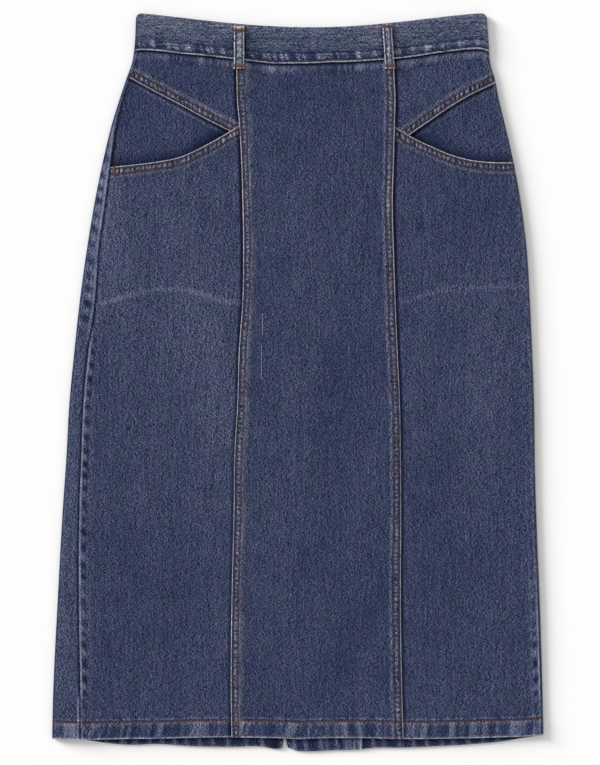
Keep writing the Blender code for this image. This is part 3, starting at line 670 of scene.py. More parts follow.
def centre_face(x, drop):
    """Height, tone and brown tinge of the centre panel's outer face."""
    from_hem = front_hem(x) - drop
    from_side = np.minimum(*(into_centre(side, x, drop) for side in SIDES))
    edges = sum(turned_edge(into_centre(side, x, drop), drop, 1.0, CENTRE_SEED[side.name],
                            seam_worn(side, drop)) for side in SIDES)
    ripple = hem_ripple(x, from_hem, 41)
    rise, pale = edges + waist_gather(x, drop, 31)
    seam = SEAM_RISE * band(from_side, SEAM_BAND)
    hem = HEM_RISE * band(from_hem, HEM_BAND)
    height = lie(x, drop) + np.maximum(seam, hem) + CROSSING_SHARE * np.minimum(seam, hem)
    height = height + rise + ripple[0] - roll(from_side) - roll(from_hem)
    tone = washed(x, drop) + pale + ripple[1] * (1 - 0.6 * band(from_side, SEAM_BAND))
    return height, tone, np.maximum(shed(from_side, edges[1]), hem_shed(from_hem, ripple[1]))


def hemmed(x, drop):
    """Height of a front panel's inner face, which the turned-up hem lowers."""
    return lie(x, drop) - DENIM - (HEM_WALL - DENIM - HEM_RISE) * band(front_hem(x) - drop, HEM_BAND)


left, right = SIDES
seam_side = [0, 0.45, *even(EDGE_ROLL_WIDTH, 8.7, FINEST), *even(9.6, 15.6, FINE)]
hem_side = [0, 0.45, *even(EDGE_ROLL_WIDTH, 3, FINEST), *even(4, 15.4, FINE), *even(16.2, 21, 0.8), 22.4, 24]
shaded_side = [0, 0.6, 1.2, 1.9, 2.6, 3.4, 4.4, 5.6, 7.2, 9]
x, drop = panel_grid(lambda d: front_seam(left, d) + HALF_GAP, lambda d: front_seam(right, d) - HALF_GAP,
                     under_waist, front_hem, stations(seam_side, seam_side, 74),
                     stations(even(0, 15, FINE), hem_side, 505))
flat_piece("front_centre", washed_denim, x, drop, centre_face(x, drop), hemmed(x, drop))

# ---------------------------------------------------------------- the hip yokes
# Two pointed pieces between the waistband and the pockets, of the same denim. The slanted lower edge
# of each is turned under and stitched twice over the pocket facing, and its ends run into the seams.

MOUTH_BAND = 8.5  # turned edges of the yokes and of the pocket mouths
MOUTH_RISE = 0.9
YOKE_WORN = {"left": Worn(7.7, 12, -5, 1, 88, 3.2, 1.8, 34),
             "right": Worn(8.1, 50, -6, 1, 96, 2.8, 1.8, 18)}
MOUTH_WORN = {"left": Worn(7.9, 28, -2, 1, 130, 2.6, 1.7, 22),
              "right": Worn(8.0, 44, -3, 1, 126, 2.6, 1.7, 24)}
YOKE_SEED = {"left": 90, "right": 130}
MOUTH_SEED = {"left": 190, "right": 250}
SIDE_RIDGE = 0.6  # felled side seam
SIDE_RIDGE_WIDTH = 6.5
SIDE_RIDGE_SWAP = 350.0  # above this drop the ridge is on the back panel, below on the front
SIDE_RIDGE_FADE = 15.0
ROPE_PITCH = 15.5  # between the dark hollows along it
SIDE_WEAR = {"left": (1.0, 1.0), "right": (0.15, 0.95)}  # how clearly each seam shows, high and low
SIDE_WEAR_AT = (590, 700)
SIDE_GAP = {"left": 0.15, "right": 0.0225}  # half the gap at it, which closes up where it lies on the fold
SEAM_OUT = {"left": 0.0, "right": 1.1}  # how far out of the seam its marks lie
FOLD_WEAR_AND_LIGHT = {"left": 12.0, "right": 27.0}  # how much paler the fold beyond it is: worn, and on the right, which turns from the lamp, also painted light
BELOW_POCKET = (112, 140)  # drops between which the seam comes clear of the fold
# Tone across the side seam, outwards: where its ridge lies on the back panel, and where on the front.
UPPER_SEAM_AT = (-9, -6, -4, -2, -1, -0.2, 0.6, 1.3, 2.2, 3.2, 4.2, 5.4, 9, 12)
UPPER_SEAM_PALE = (0, 3, 10, 4, -16, -42, -20, 20, 56, 46, 22, 10, 8, 10)
LOWER_SEAM_AT = (-14, -10, -8, -6, -4, -3, -2.1, -1.3, -0.6, 0.2, 1, 2, 3.5, 9, 14)
LOWER_SEAM_PALE = (0, 9, 7, 4, 2, 5, 54, 82, 50, -38, -26, 0, 7, 9, 8)
SEAM_TURNS_OUT = (738, 750)  # drops below which its allowance shows beside it as a second pale line

# Drops of three lines across each hip: the yoke's lower edge, the pocket mouth and the bag's end.
HipLine = namedtuple("HipLine", "x yoke_edge mouth bag")
LEFT_HIP = [HipLine(*row) for row in (
    (-224, 48.5, 170.3, 319.5), (-198, 62.5, 167.3, 312), (-171.5, 77, 164.4, 304),
    (-150, 88.7, 161.5, 301), (-128, 100.2, 156.7, 301.5), (-106.5, 112, 147.2, 305.5),
    (-90, 120.7, 138.4, 311.5), (-58.5, 136, 119.5, 316),
)]
RIGHT_HIP = [HipLine(*row) for row in (
    (98.5, 150.5, 118.5, 316), (111.5, 140.8, 127.1, 315), (128, 128.8, 136.9, 311),
    (144.5, 117.4, 144.6, 305), (166, 102.6, 153.8, 301), (188, 89.6, 159.9, 299.5),
    (210, 79, 162.4, 298.5), (253.5, 57.8, 162.2, 297.5),
)]
hips = {name: HipLine(None, *(curve(table, "x", line) for line in HipLine._fields[1:]))
        for name, table in (("left", LEFT_HIP), ("right", RIGHT_HIP))}


def ordered(side, outer, inner):
    """Two things from the side seam and from the middle, put in order from left to right."""
    return (outer, inner) if side.sign < 0 else (inner, outer)


def incline(line, x):
    """How much longer a slanted line over x is than its run."""
    return np.sqrt(1 + (line(x + 0.5) - line(x - 0.5)) ** 2)


def below(line, x, drop):
    """Distance below a line over x, measured square to it."""
    return (drop - line(x)) / incline(line, x)


def out_of_seam(side, x, drop):
    """Distance outwards from the side seam, below 0 on the front."""
    return side.sign * (x - side_seam(side, drop))


def ridge_in_front(drop):
    """0 where the side seam's ridge lies on the back panel, 1 where it lies on the front panel."""
    return step(drop, SIDE_RIDGE_SWAP - SIDE_RIDGE_FADE, SIDE_RIDGE_SWAP + SIDE_RIDGE_FADE)


def side_ridge(side, x, drop):
    """How far the allowances of a side seam raise the panel that they lie behind."""
    return SIDE_RIDGE * band(np.abs(out_of_seam(side, x, drop)), SIDE_RIDGE_WIDTH)


def side_edge(side, x, drop):
    """Rise and pallor on both sides of a side seam, whose allowances lie beside it as a roped ridge."""
    outward = out_of_seam(side, x, drop) - SEAM_OUT[side.name]
    place = drop + 0.5 * outward
    rope = 0.65 * np.cos(2 * math.pi * place / ROPE_PITCH + 2 * wander(place, 30, 61))
    rope = rope + 0.5 * wander(place, 6.5, 62)
    behind, before = bump(outward, 8.5, 4.2), bump(outward, -5.2, 2.8)
    uneven = 1 + 0.25 * wander(drop, 5, 63)
    upper = np.interp(outward, UPPER_SEAM_AT, UPPER_SEAM_PALE) * uneven + 40 * rope * behind
    lower = np.interp(outward, LOWER_SEAM_AT, LOWER_SEAM_PALE) * uneven + 38 * rope * before
    turned = step(drop, *SEAM_TURNS_OUT)
    lower = lower * (1 - 0.55 * turned) + 80 * bump(outward, 2.4, 0.8) * turned
    in_front = ridge_in_front(drop)
    rise = 0.15 * rope * (behind * (1 - in_front) + before * in_front)
    fold = FOLD_WEAR_AND_LIGHT[side.name] * bump(fold_edge(side, drop), x, 4)
    upper = upper * (0.2 + 0.8 * step(drop, *BELOW_POCKET))
    wear = np.interp(drop, SIDE_WEAR_AT, SIDE_WEAR[side.name])
    return np.array([rise, wear * (upper * (1 - in_front) + lower * in_front) + fold])


def seam_shade(side, x, drop):
    """How much darker the cloth beside a princess seam is."""
    beside = into_centre(side, x, drop)
    return np.interp(beside, EDGE_AT, EDGE_PALE) * seam_worn(side, drop).shade * (beside < 0)


def side_lines(side, clear=HALF_GAP):
    """A piece's left and right edge, by its side seam and so far clear of its princess seam."""
    return ordered(side, lambda d: side_seam(side, d) - side.sign * SIDE_GAP[side.name],
                   lambda d: front_seam(side, d) + side.sign * clear)


def yoke_face(side, x, drop):
    """Height, tone and brown tinge of a yoke's outer face."""
    seed = YOKE_SEED[side.name]
    from_edge = -below(hips[side.name].yoke_edge, x, drop)
    edge = turned_edge(from_edge, x, 1.0, seed, YOKE_WORN[side.name])
    rise, pale = edge + waist_gather(x, drop, seed + 5) + side_edge(side, x, drop)
    height = lie(x, drop) + MOUTH_RISE * band(from_edge, MOUTH_BAND) - roll(from_edge) + rise
    tone = washed(x, drop) + pale + seam_shade(side, x, drop)
    return height, tone, POCKET_TINGE * shed(from_edge, edge[1])


mouth_side = [0, 0.45, *even(EDGE_ROLL_WIDTH, 8.7, FINEST), *even(9.6, 14.4, FINE)]
for side in SIDES:
    hip = hips[side.name]
    x, drop = panel_grid(*side_lines(side), under_waist,
                         lambda v: np.minimum(hip.yoke_edge(v), hip.mouth(v)) - HALF_GAP,
                         stations(*ordered(side, even(0, 15, 1), shaded_side), 96),
                         stations(even(0, 10, 1), mouth_side, 26))
    flat_piece("front_yoke_" + side.name, washed_denim, x, drop, yoke_face(side, x, drop),
               lie(x, drop) - DENIM)

# ---------------------------------------------------------------- the pocket facings
# A facing of the same denim shows between each yoke and the curved pocket mouth. Sheltered there, it
# has kept more of its indigo, and it goes on down behind the side panel as the pocket's bag. Its face is
# also painted darker as shade under the yoke's edge, above the mouth and where the two close in.

BAG_WALL = 1.0
BAG_TUCK = 8.0  # the facing goes on under the yoke by this much
BAG_CLEAR = 2.0  # the bag's inner side stays this far from the front seam
FACING_LIFT = 0.9  # between yoke and mouth the facing comes up almost level with them
FACING_SLOPE = (1, 10)  # distances from either edge between which it does
FACING_AT = (0, 2, 4, 6, 9, 14)  # distance above the mouth, and how much darker its painted shade is
FACING_SHADE = (-30, -24, -15, -10, -7, 0)
FACING_TONE = {"left": -4.0, "right": -1.0}  # how much less each has faded
FACING_NARROWS = (8, 50)  # painted shade: it is up to 10 darker where yoke and mouth come closer than this
BELOW_YOKE_PALE = {"left": 20, "right": 7}  # a worn line on the facing, 4 mm below the yoke's edge

sheltered_denim = denim("sheltered_denim_twill", 2.1, 0.42, 0.16)


def facing_face(side, x, drop):
    """Height, tone and tinge of a pocket facing."""
    hip = hips[side.name]
    seed = 160 + 20 * side.sign
    from_yoke = below(hip.yoke_edge, x, drop)
    to_mouth = -below(hip.mouth, x, drop)
    lifted = step(drop - hip.yoke_edge(x), *FACING_SLOPE) * step(hip.mouth(x) - drop, *FACING_SLOPE)
    # Painted shade under the yoke's edge and above the mouth, where the facing goes under them.
    tone = washed(x, drop) + FACING_TONE[side.name] + 0.5 * np.interp(-np.abs(from_yoke), EDGE_AT, EDGE_PALE)
    tone = tone + BELOW_YOKE_PALE[side.name] * bump(from_yoke, 4.2, 1.6) * (1 + 0.3 * wander(x, 4, seed))
    tone = tone + np.interp(to_mouth, FACING_AT, FACING_SHADE)
    tone = tone - 10 * (1 - step(from_yoke + to_mouth, *FACING_NARROWS)) + side_edge(side, x, drop)[1]
    return lie(x, drop) - DENIM - LAYER_GAP + FACING_LIFT * lifted, tone, 0.0


for side in SIDES:
    hip = hips[side.name]
    across = stations([0, 1, 2], [0], 92)

    def out_of_sight(v):
        return np.maximum(hip.mouth(v), hip.yoke_edge(v)) + BAG_TUCK

    upper = panel_grid(*side_lines(side, BAG_CLEAR), lambda v: hip.yoke_edge(v) - BAG_TUCK, out_of_sight,
                       across, stations(even(0, 12, 1), even(0, 14, 1), 66))
    lower = panel_grid(*side_lines(side, BAG_CLEAR), out_of_sight, hip.bag, across, stations([0], [0], 12))
    x, drop = (np.concatenate([above, under[1:]]) for above, under in zip(upper, lower))
    face = facing_face(side, x, drop)
    flat_piece("pocket_" + side.name, sheltered_denim, x, drop, face, face[0] - BAG_WALL)

# ---------------------------------------------------------------- the front side panels
# One long piece on each side, from the pocket mouth to the hem. The curved mouth is turned under and
# stitched twice, the pocket bag behind has worn a pale arc through, and the side seam ropes its edge.

BAG_RISE = 0.5  # the bag lifts the side panel that lies on it
BAG_SLOPE_TOP = 10.0
BAG_SLOPE_END = 7.0
BAG_LINE = 2.8  # half width of the arc that the bag's end has worn
SIDE_PANEL_PALE = 1.5
Wear = namedtuple("Wear", "pale even middles")
BAG_WEAR = {"left": Wear(34, 0.45, (-188, -104)), "right": Wear(15, 0.7, (150, 215))}


def bag_lift(side, x, drop):
    """How far the pocket bag lifts the panel that lies on it."""
    hip = hips[side.name]
    down, up = drop - hip.mouth(x), hip.bag(x) - drop
    return BAG_RISE * step(down, 0, BAG_SLOPE_TOP) * step(up, 0, BAG_SLOPE_END)


def side_face(side, x, drop):
    """Height, tone and brown tinge of a side panel's outer face."""
    hip, wear = hips[side.name], BAG_WEAR[side.name]
    seed = MOUTH_SEED[side.name]
    from_mouth, from_hem = below(hip.mouth, x, drop), front_hem(x) - drop
    mouth = turned_edge(from_mouth, x, 0.9, seed, MOUTH_WORN[side.name])
    ripple = hem_ripple(x, from_hem, seed + 5)
    rise, pale = mouth + ripple + side_edge(side, x, drop)
    rubbed = wear.even + (1 - wear.even) * sum(bump(x, middle, 24) for middle in wear.middles)
    arc = wear.pale * rubbed * bump(drop, hip.bag(x), BAG_LINE) * (1 + 0.2 * wander(x, 5, seed + 11))
    ridge = side_ridge(side, x, drop) * ridge_in_front(drop)
    height = lie(x, drop) + bag_lift(side, x, drop) + MOUTH_RISE * band(from_mouth, MOUTH_BAND) + ridge
    height = height + HEM_RISE * band(from_hem, HEM_BAND) - roll(from_mouth) - roll(from_hem) + rise
    tone = washed(x, drop) + SIDE_PANEL_PALE + pale + seam_shade(side, x, drop) + arc
    mouth_tinge = POCKET_TINGE * shed(from_mouth, mouth[1])
    return height, tone, np.maximum(mouth_tinge, hem_shed(from_hem, ripple[1]))


for side in SIDES:
    x, drop = panel_grid(*side_lines(side), lambda v: hips[side.name].mouth(v) + HALF_GAP, front_hem,
                         stations(*ordered(side, even(0, 13, 1), shaded_side), 80),
                         stations(mouth_side, hem_side, 345))
    flat_piece("front_side_" + side.name, washed_denim, x, drop, side_face(side, x, drop),
               hemmed(x, drop) + bag_lift(side, x, drop))

# ---------------------------------------------------------------- the outer back panels
# Each goes from the back princess seam out to the fold, turns up round it and laps over to the side
# seam. Its hem is turned up on the inside, where a ropy strip of it shows below the shorter front.

CENTRE_BACK_TOP = 14.5  # x of the centre back seam at the waist and at the hem
CENTRE_BACK_HEM = -14.5
BACK_SPREAD_TOP = 62.0  # centre back to the back panels' seams
BACK_SPREAD_HEM = 85.0
BACK_HEM_RISE = 1.1
BACK_SEAM_RISE = 0.7  # bands on the back panels' inner faces
BACK_SEAM_BAND = 9.0
VENT_RISE = 0.8
VENT_TOP = 570.0  # drop of the top of the slit in the centre back seam
VENT_OPEN = 2.4
VENT_BAND = 12.0
VENT_LEAD = 8.0
FOLD_SHADE = {"left": 0.45, "right": 0.0}  # painted shade on the turn of each fold, where the lamp from the left lights it
TROUGH = 0.35  # most that stitching lifts the back's face off the surface
LAP_RAMP = 0.35  # share of the lapping strip over which it leaves the fold's round
LAP_OWN_TONE = (100, 120)  # below these drops the left strip is no longer toned as the hip beside it
FOLD_STEPS = 14
BACK_INSIDE = (8, 1)  # rows and columns that its inner skin keeps, beside all those of its hem
ALLOWANCE = 37.0  # tone of the turned-up hem inside, and of the ridges that rope it
RIDGE_PALE = 50.0
RIDGE_WIDTH = 2.3
RIDGE_SLANT = 0.2
BACK_SEAM_LINES = ((-1.1, -42), (1.3, 96), (8.6, 70))  # across the right seam: distance and pallor
BACK_CREASE = -162.5  # a tuck pressed across the turned-up hem, whose crease is a painted shadow line
BACK_RIDGES = (-222, -207, -190, -176, -161, -147, -133.5, -120, -106, -92, -75, -55, -38,
               -2, 10.5, 27, 33, 44, 54, 59, 69, 84, 95, 113, 127, 142, 158, 171, 187, 203, 220)


def centre_back(drop):
    return CENTRE_BACK_TOP + (CENTRE_BACK_HEM - CENTRE_BACK_TOP) * drop / LENGTH


def back_seam(side, drop):
    spread = BACK_SPREAD_TOP + (BACK_SPREAD_HEM - BACK_SPREAD_TOP) * (drop / LENGTH) ** 0.6
    return centre_back(drop) + side.sign * spread


def into_back(side, x, drop):
    """Distance from a back seam on to the inner back panel."""
    return side.sign * (back_seam(side, drop) - x)


def fold_radius(side, drop, rise):
    """Half the stack's height just inside the fold at one side of the skirt."""
    edge = fold_edge(side, drop)
    return (lie(edge - side.sign * FRONT_HEIGHT / 2, drop) + rise) / 2


def back_outside(side, x, drop):
    """Height, tone and tinge of the back's outer face, flat on the surface but for its stitched troughs."""
    seed = 320 + 30 * side.sign
    from_seam = into_back(side, x, drop)
    edge = turned_edge(from_seam, drop, 0.9, seed, seam_worn(left, drop))
    rise, pale = edge + waist_gather(x, drop, seed + 5) + hem_ripple(x, back_hem(x) - drop, seed + 7)
    return np.clip(-rise, 0, TROUGH), washed(x, drop, 3) + pale, 0 * x


def back_inside(side, x, drop):
    """Height and tone of the back's inner face, of which the lowest strip shows."""
    from_hem = back_hem(x) - drop
    from_seam = into_back(side, x, drop)
    turned_up = band(from_hem, HEM_BAND)
    seam = BACK_SEAM_RISE * band(from_seam, BACK_SEAM_BAND) * (from_seam > 0)
    vent = VENT_RISE * band(np.abs(x - centre_back(drop)), VENT_BAND)
    vent = vent * step(drop, VENT_TOP - VENT_LEAD, VENT_TOP)
    ridges_up = sum(bump(x + RIDGE_SLANT * from_hem, at, RIDGE_WIDTH) for at in BACK_RIDGES)
    # Painted shade darkens the crease of the tuck.
    tone = ALLOWANCE + RIDGE_PALE * ridges_up + 30 * bump(from_hem, 0.7, 0.9) - 40 * bump(x, BACK_CREASE, 0.9)
    lines = sum(pale * bump(from_seam, line, 1.0) for line, pale in BACK_SEAM_LINES)
    tone = tone + (lines + 14 * bump(from_seam, 5, 4)) * (side.sign > 0)
    # Painted shadow of the front hem on the strip just below it.
    tone = tone - 14 * (1 - step(drop - front_hem(x), 1, 4.5))
    height = DENIM + np.maximum(BACK_HEM_RISE * turned_up, np.maximum(seam, vent)) - roll(from_hem)
    return height + 0.22 * ridges_up * turned_up, WRONG_SIDE + (tone - WRONG_SIDE) * turned_up


def hip_tone(side, x, drop):
    """Tone of the yoke, the facing or the side panel, whichever is at a place."""
    hip = hips[side.name]
    tone = np.where(drop < hip.mouth(x), facing_face(side, x, drop)[1], side_face(side, x, drop)[1])
    return np.where(drop < hip.yoke_edge(x), yoke_face(side, x, drop)[1], tone)


def lap_face(side, x, drop):
    """Height, tone and tinge of the strip that laps over from the fold to the side seam."""
    radius = fold_radius(side, drop, 0)
    centre = fold_edge(side, drop) - side.sign * radius
    ramp = step((x - centre) / (side_seam(side, drop) - centre), 0, LAP_RAMP)
    from_hem = front_hem(x) - drop
    ripple = hem_ripple(x, from_hem, 405)
    rise, pale = ripple + side_edge(side, x, drop) + waist_gather(x, drop, 401)
    rise = rise + side_ridge(side, x, drop) * (1 - ridge_in_front(drop)) + HEM_RISE * band(from_hem, HEM_BAND)
    tone = washed(x, drop) + pale
    reach = 1 - step(drop, *LAP_OWN_TONE) * (side.sign < 0)
    tone = tone + (hip_tone(side, x, drop) - tone) * reach
    return 2 * radius + (lie(x, drop) - 2 * radius + rise) * ramp, tone, hem_shed(from_hem, ripple[1])


def round_fold(side, kind, t, rows, guess, rise, inset, ends, top, bottom):
    """A column of points on the floor, on a fold's turn or in front of it, and the turn's own line."""
    fixed, share = rows
    drop = np.full(len(fixed), guess)
    for _ in range(PASSES):
        radius = fold_radius(side, drop, rise)
        centre = fold_edge(side, drop) - side.sign * (radius + inset(drop))
        if kind == "turn":
            x = centre + side.sign * radius * np.sin(t)
        else:
            x = centre + (ends[kind](drop) - centre) * (1 - t if kind == "floor" else t)
        drop = top(x) + fixed + share * (bottom(x) - top(x))
    return x, drop, centre, radius


def on_turn(side, centre, drop, radius, reach, t):
    """Points on the turn of a fold, at a reach from its line and an angle up from the floor."""
    return points(centre + side.sign * reach * np.sin(t), drop, radius - reach * np.cos(t))


# Tone on a fold's turn, with painted shade where the lamp lights it.
def turn_tone(side, tone, t):
    return tone * (1 - FOLD_SHADE[side.name] * step(math.sin(t), 0, 0.5))


def unrolled(outer):
    """Distance along the cloth from a grid's first column."""
    lengths = np.linalg.norm(np.diff(outer[..., ::2], axis=1), axis=-1)
    return np.pad(np.cumsum(lengths, axis=1), ((0, 0), (1, 0)))


turns = [math.pi * k / FOLD_STEPS for k in range(1, FOLD_STEPS)]
columns = [("floor", t) for t in (*np.linspace(0, 0.09, 12), *np.linspace(0.09, 1, 62)[1:])]
columns += [("turn", t) for t in turns] + [("front", t) for t in np.linspace(0, 1, 23)]
rows = stations(even(0, 15, 1.5), hem_side, 310)
hem_rows = range(len(rows[0]) - len(hem_side), len(rows[0]))
for side in SIDES:
    ends = {"floor": lambda d: back_seam(side, d) + side.sign * HALF_GAP,
            "front": lambda d: side_seam(side, d) + side.sign * SIDE_GAP[side.name]}
    grids = []
    for kind, t in columns:
        hem = back_hem if kind == "floor" else front_hem
        x, drop, centre, radius = round_fold(side, kind, t, rows, LENGTH / 2, 0, np.zeros_like, ends,
                                             under_waist, hem)
        height, tone, tinge = lap_face(side, x, drop)
        lining = WRONG_SIDE + 0 * x
        low = lie(x, drop) - DENIM + (1 - step(t, 0, LAP_RAMP)) * (2 * radius - lie(x, drop))
        if kind == "floor":
            height, tone, tinge = back_outside(side, x, drop)
            low, lining = back_inside(side, x, drop)
        over, under = points(x, drop, height), points(x, drop, low)
        if kind == "turn":
            reaches = (radius, radius - DENIM)
            over, under = (on_turn(side, centre, drop, radius, reach, t) for reach in reaches)
            tone = tone + (back_outside(side, x, drop)[1] - tone) * (1 + math.cos(t)) / 2
            tone = turn_tone(side, tone, t)
        grids.append((over, under, tone, lining, tinge))
    outer, inner, over_tone, under_tone, tinges = (np.stack(grid, 1) for grid in zip(*grids))
    cut = np.stack([outer[:, :1, 0] + side.sign * unrolled(outer), outer[..., 1]])
    sewn_piece("back_side_" + side.name, washed_denim, outer, inner, (over_tone, under_tone), cut,
               kept(len(outer), BACK_INSIDE[0], hem_rows), kept(len(columns), BACK_INSIDE[1]), tinges)

# ---------------------------------------------------------------- the inner back panels
# Two pieces that meet at the centre back seam, which is left open as a slit towards the hem. Their
# outer edges are turned over the side panels and stitched twice, as on the front.

SLIT_SPREAD = {"left": 1.2, "right": 3.2}  # how far its corners draw apart at the hem
MITRE = (-13.6, 791.0, 0.79)  # start of the fold at the right corner of the slit, and its slope
SLIT_OPENS = (790, 805)  # drops between which they do, and from which their folds show
SLIT_FOLDS = (780, 788)
SLIT_LINES = (1.2, 3.6)  # pale lines along the left corner, from the slit


def slit_half(side, drop):
    """Half the width of the slit, which opens down from its top and spreads at its corners."""
    share = np.clip((drop - VENT_TOP) / (LENGTH - VENT_TOP), 0, 1)
    return HALF_GAP + (VENT_OPEN - SEAM_GAP) / 2 * share + SLIT_SPREAD[side.name] * step(drop, *SLIT_OPENS)


def slit_corner(side, x, drop):
    """Pallor of the two folded corners at the foot of the slit."""
    if side.sign > 0:
        start_x, start_drop, slope = MITRE
        return 34 * bump(x - start_x, slope * (drop - start_drop), 1.4) * (drop > start_drop)
    from_slit = centre_back(drop) - slit_half(side, drop) - x
    lines = sum(30 * bump(from_slit, line, 0.7) for line in SLIT_LINES)
    return (lines - 15 * bump(from_slit, 9, 5)) * step(drop, *SLIT_FOLDS)


for side in SIDES:
    x, drop = panel_grid(*ordered(side, lambda d: back_seam(side, d) - side.sign * HALF_GAP,
                                  lambda d: centre_back(d) + side.sign * slit_half(side, d)),
                         under_waist, back_hem,
                         stations(*ordered(side, even(0, 15, 1.3), even(0, 14, 1.4)), 24), rows)
    under, lining = back_inside(side, x, drop)
    lining = lining + slit_corner(side, x, drop) * (lining < WRONG_SIDE)
    flat_piece("back_centre_" + side.name, washed_denim, x, drop, back_outside(side, x, drop),
               under, lining, BACK_INSIDE, hem_rows)

# ---------------------------------------------------------------- the waistband
# One strip of denim folded double, from centre back round both folds and across the front. Its warp
# runs along it, and it has worn palest along its two edges and where the seam below ropes it.

WAISTBAND_WALL = 2.6  # two layers and the seam allowance between them
WAISTBAND_RISE = 1.4  # how far the band stands above the panels below it
BAND_TONE = 64.5
BAND_END_PALE = 24.0  # how much paler the band is at its right fold
CORNER = 6.0  # radius of the band's top corners, where it is folded
BAND_INSIDE = 3
BAND_FRONT = 256  # columns of its points in front, and on each half of the back
BAND_BACK = 80
BAND_FINER = (118, 140)  # x between which its puckers turn finer
BAND_PALER = (-160, -100)  # and between which its paler left end fades
BAND_ROW = 2.6  # one row of stitches above the seam
BAND_EDGE_AT = (0, 0.45, 1.0, 1.6, 2.3, 3.2, 5, 7, 8.6, 10.0, 11.6, 13.0, 16, 18)
BAND_EDGE_PALE = (84, 146, 108, 2, -40, -14, 10, 20, 28, 8, -22, -4, -2, 3)
BAND_TOP_AT = (0, 1, 3, 6, 10, 16)
BAND_TOP_PALE = (30, 18, 12, 8, 3, 0)


faded_denim = denim("faded_denim_twill", 2.0, 0.6, 1.0, 0.75, 0.08)

Loop = namedtuple("Loop", "name x width lean top folded")
LOOPS = (Loop("belt_loop_left", -63.6, 11.2, 0.0, 14.5, 85),
         Loop("belt_loop_right", 97.3, 10.2, 3.5, 12.3, 15))
LOOP_END = 61.0  # drop of a belt loop's lower end


def loop_shade(x, drop):
    """How much darker the band is close beside a belt loop."""
    shade = 0 * x
    for loop in LOOPS:
        middle = loop.x + loop.lean * (drop - loop.top) / (LOOP_END - loop.top)
        shade = shade + 34 * bump(np.abs(x - middle), loop.width / 2 + 0.6, 1.1) * (drop > loop.top)
    return shade


def corner_inset(drop):
    """How far the round of the top corner draws the fold in at a drop."""
    short = CORNER - np.clip(drop, 0, CORNER)
    return CORNER - np.sqrt(CORNER * CORNER - short * short)


def band_face(x, drop):
    """Relief and tone of the waistband's outer face."""
    from_seam = waist_seam(x) - drop
    rope = ridges(x + 0.3 * from_seam, 6.2, 71) + 0.3 * wander(x, 3.1, 74)
    rope = rope + (ridges(x, 3.6, 72) - rope) * step(x, *BAND_FINER)
    share = step(from_seam, 2.5, 4.5) * (1 - step(from_seam, 9, 13))
    tone = BAND_TONE + 4 * (1 - step(x, *BAND_PALER)) - 3 * bump(x, 15, 70) + 56 * rope * share
    tone = tone + 6 * patches(x, drop, 20, 73) - loop_shade(x, drop)
    tone = tone + np.interp(from_seam, BAND_EDGE_AT, BAND_EDGE_PALE) * (1 + 0.3 * wander(x, 6, 75))
    tone = tone + np.interp(drop - waist_top(x), BAND_TOP_AT, BAND_TOP_PALE)
    tone = tone + BAND_END_PALE * bump(fold_edge(right, drop) - x, 1.5, 3.0)
    return 0.18 * rope * share - ROW_DEPTH * bump(from_seam, BAND_ROW, ROW_WIDTH), tone


def above_seam(x):
    return waist_seam(x) - HALF_GAP


def right_turn(drop):
    """x of the line of the right fold's turn."""
    return fold_edge(right, drop) - fold_radius(right, drop, WAISTBAND_RISE) - corner_inset(drop)


edge = [0, 0.45, *even(EDGE_ROLL_WIDTH, 4.2, FINEST), *even(5.2, 13.6, FINE)]
rows = stations(edge, edge, 9)
stretches = ((left, "floor", np.linspace(0, 1, BAND_BACK)), (left, "turn", turns),
             (left, "front", np.linspace(0, 1, BAND_FRONT)), (right, "turn", turns[::-1]),
             (right, "floor", np.linspace(1, 0, BAND_BACK)))
columns = [(side, kind, t) for side, kind, places in stretches for t in places]
ends = {"floor": lambda d: centre_back(d) + side.sign * SEAM_GAP, "front": right_turn}
grids = []
for side, kind, t in columns:
    x, drop, centre, radius = round_fold(side, kind, t, rows, WAISTBAND_LEFT / 2, WAISTBAND_RISE,
                                         corner_inset, ends, waist_top, above_seam)
    rim = roll(np.minimum(drop - waist_top(x), above_seam(x) - drop))
    relief, tone = band_face(x, drop)
    if kind == "turn":
        reaches = (radius - rim, radius - WAISTBAND_WALL + rim)
        over, under = (on_turn(side, centre, drop, radius, reach, t) for reach in reaches)
        tone = turn_tone(side, tone, t)
    elif kind == "floor":
        over = points(x, drop, np.maximum(rim, np.clip(-relief, 0, TROUGH)))
        under = points(x, drop, WAISTBAND_WALL - rim)
    else:
        height = lie(x, drop) + WAISTBAND_RISE
        over, under = points(x, drop, height - rim + relief), points(x, drop, height - WAISTBAND_WALL + rim)
    grids.append((over, under, tone))
outer, inner, tones = (np.stack(grid, 1) for grid in zip(*grids))
sewn_piece("waistband", faded_denim, outer, inner, (tones, WRONG_SIDE),
           np.stack([outer[..., 1], unrolled(outer)]), kept(len(outer), BAND_INSIDE),
           kept(len(columns), BAND_INSIDE))

# ---------------------------------------------------------------- the belt loops
# Two straps of denim folded to three layers, with a row of stitches near each folded edge. Each
# bridges the waistband, and its two ends are turned under and tacked down. They have worn palest.

LOOP_WALL = 1.6
LOOP_CLEAR = 0.9  # how far the strap bridges clear of the waistband
LOOP_TURN = 7.0  # length of the sewn end at the top and at the bottom
LOOP_TURN_SLOPE = 2.0
LOOP_RAMP = 7.0  # length over which the strap comes down to a sewn end
LOOP_TURN_WALL = 0.7  # the turned-under ends are thicker by this much
LOOP_SELVEDGE = 0.35  # the strap's two folded edges stand above its middle
LOOP_SELVEDGE_SHARE = 0.14
LOOP_OVER_SEAM = (1.5, 3.5)  # distances below the waist seam between which the strap steps down
LOOP_FLARE = 0.09  # the lower end spreads by this share of its width
LOOP_ROW = 2.3  # stitches from each edge
LOOP_PUCKER = 6.4
LOOP_TONE = 98.0


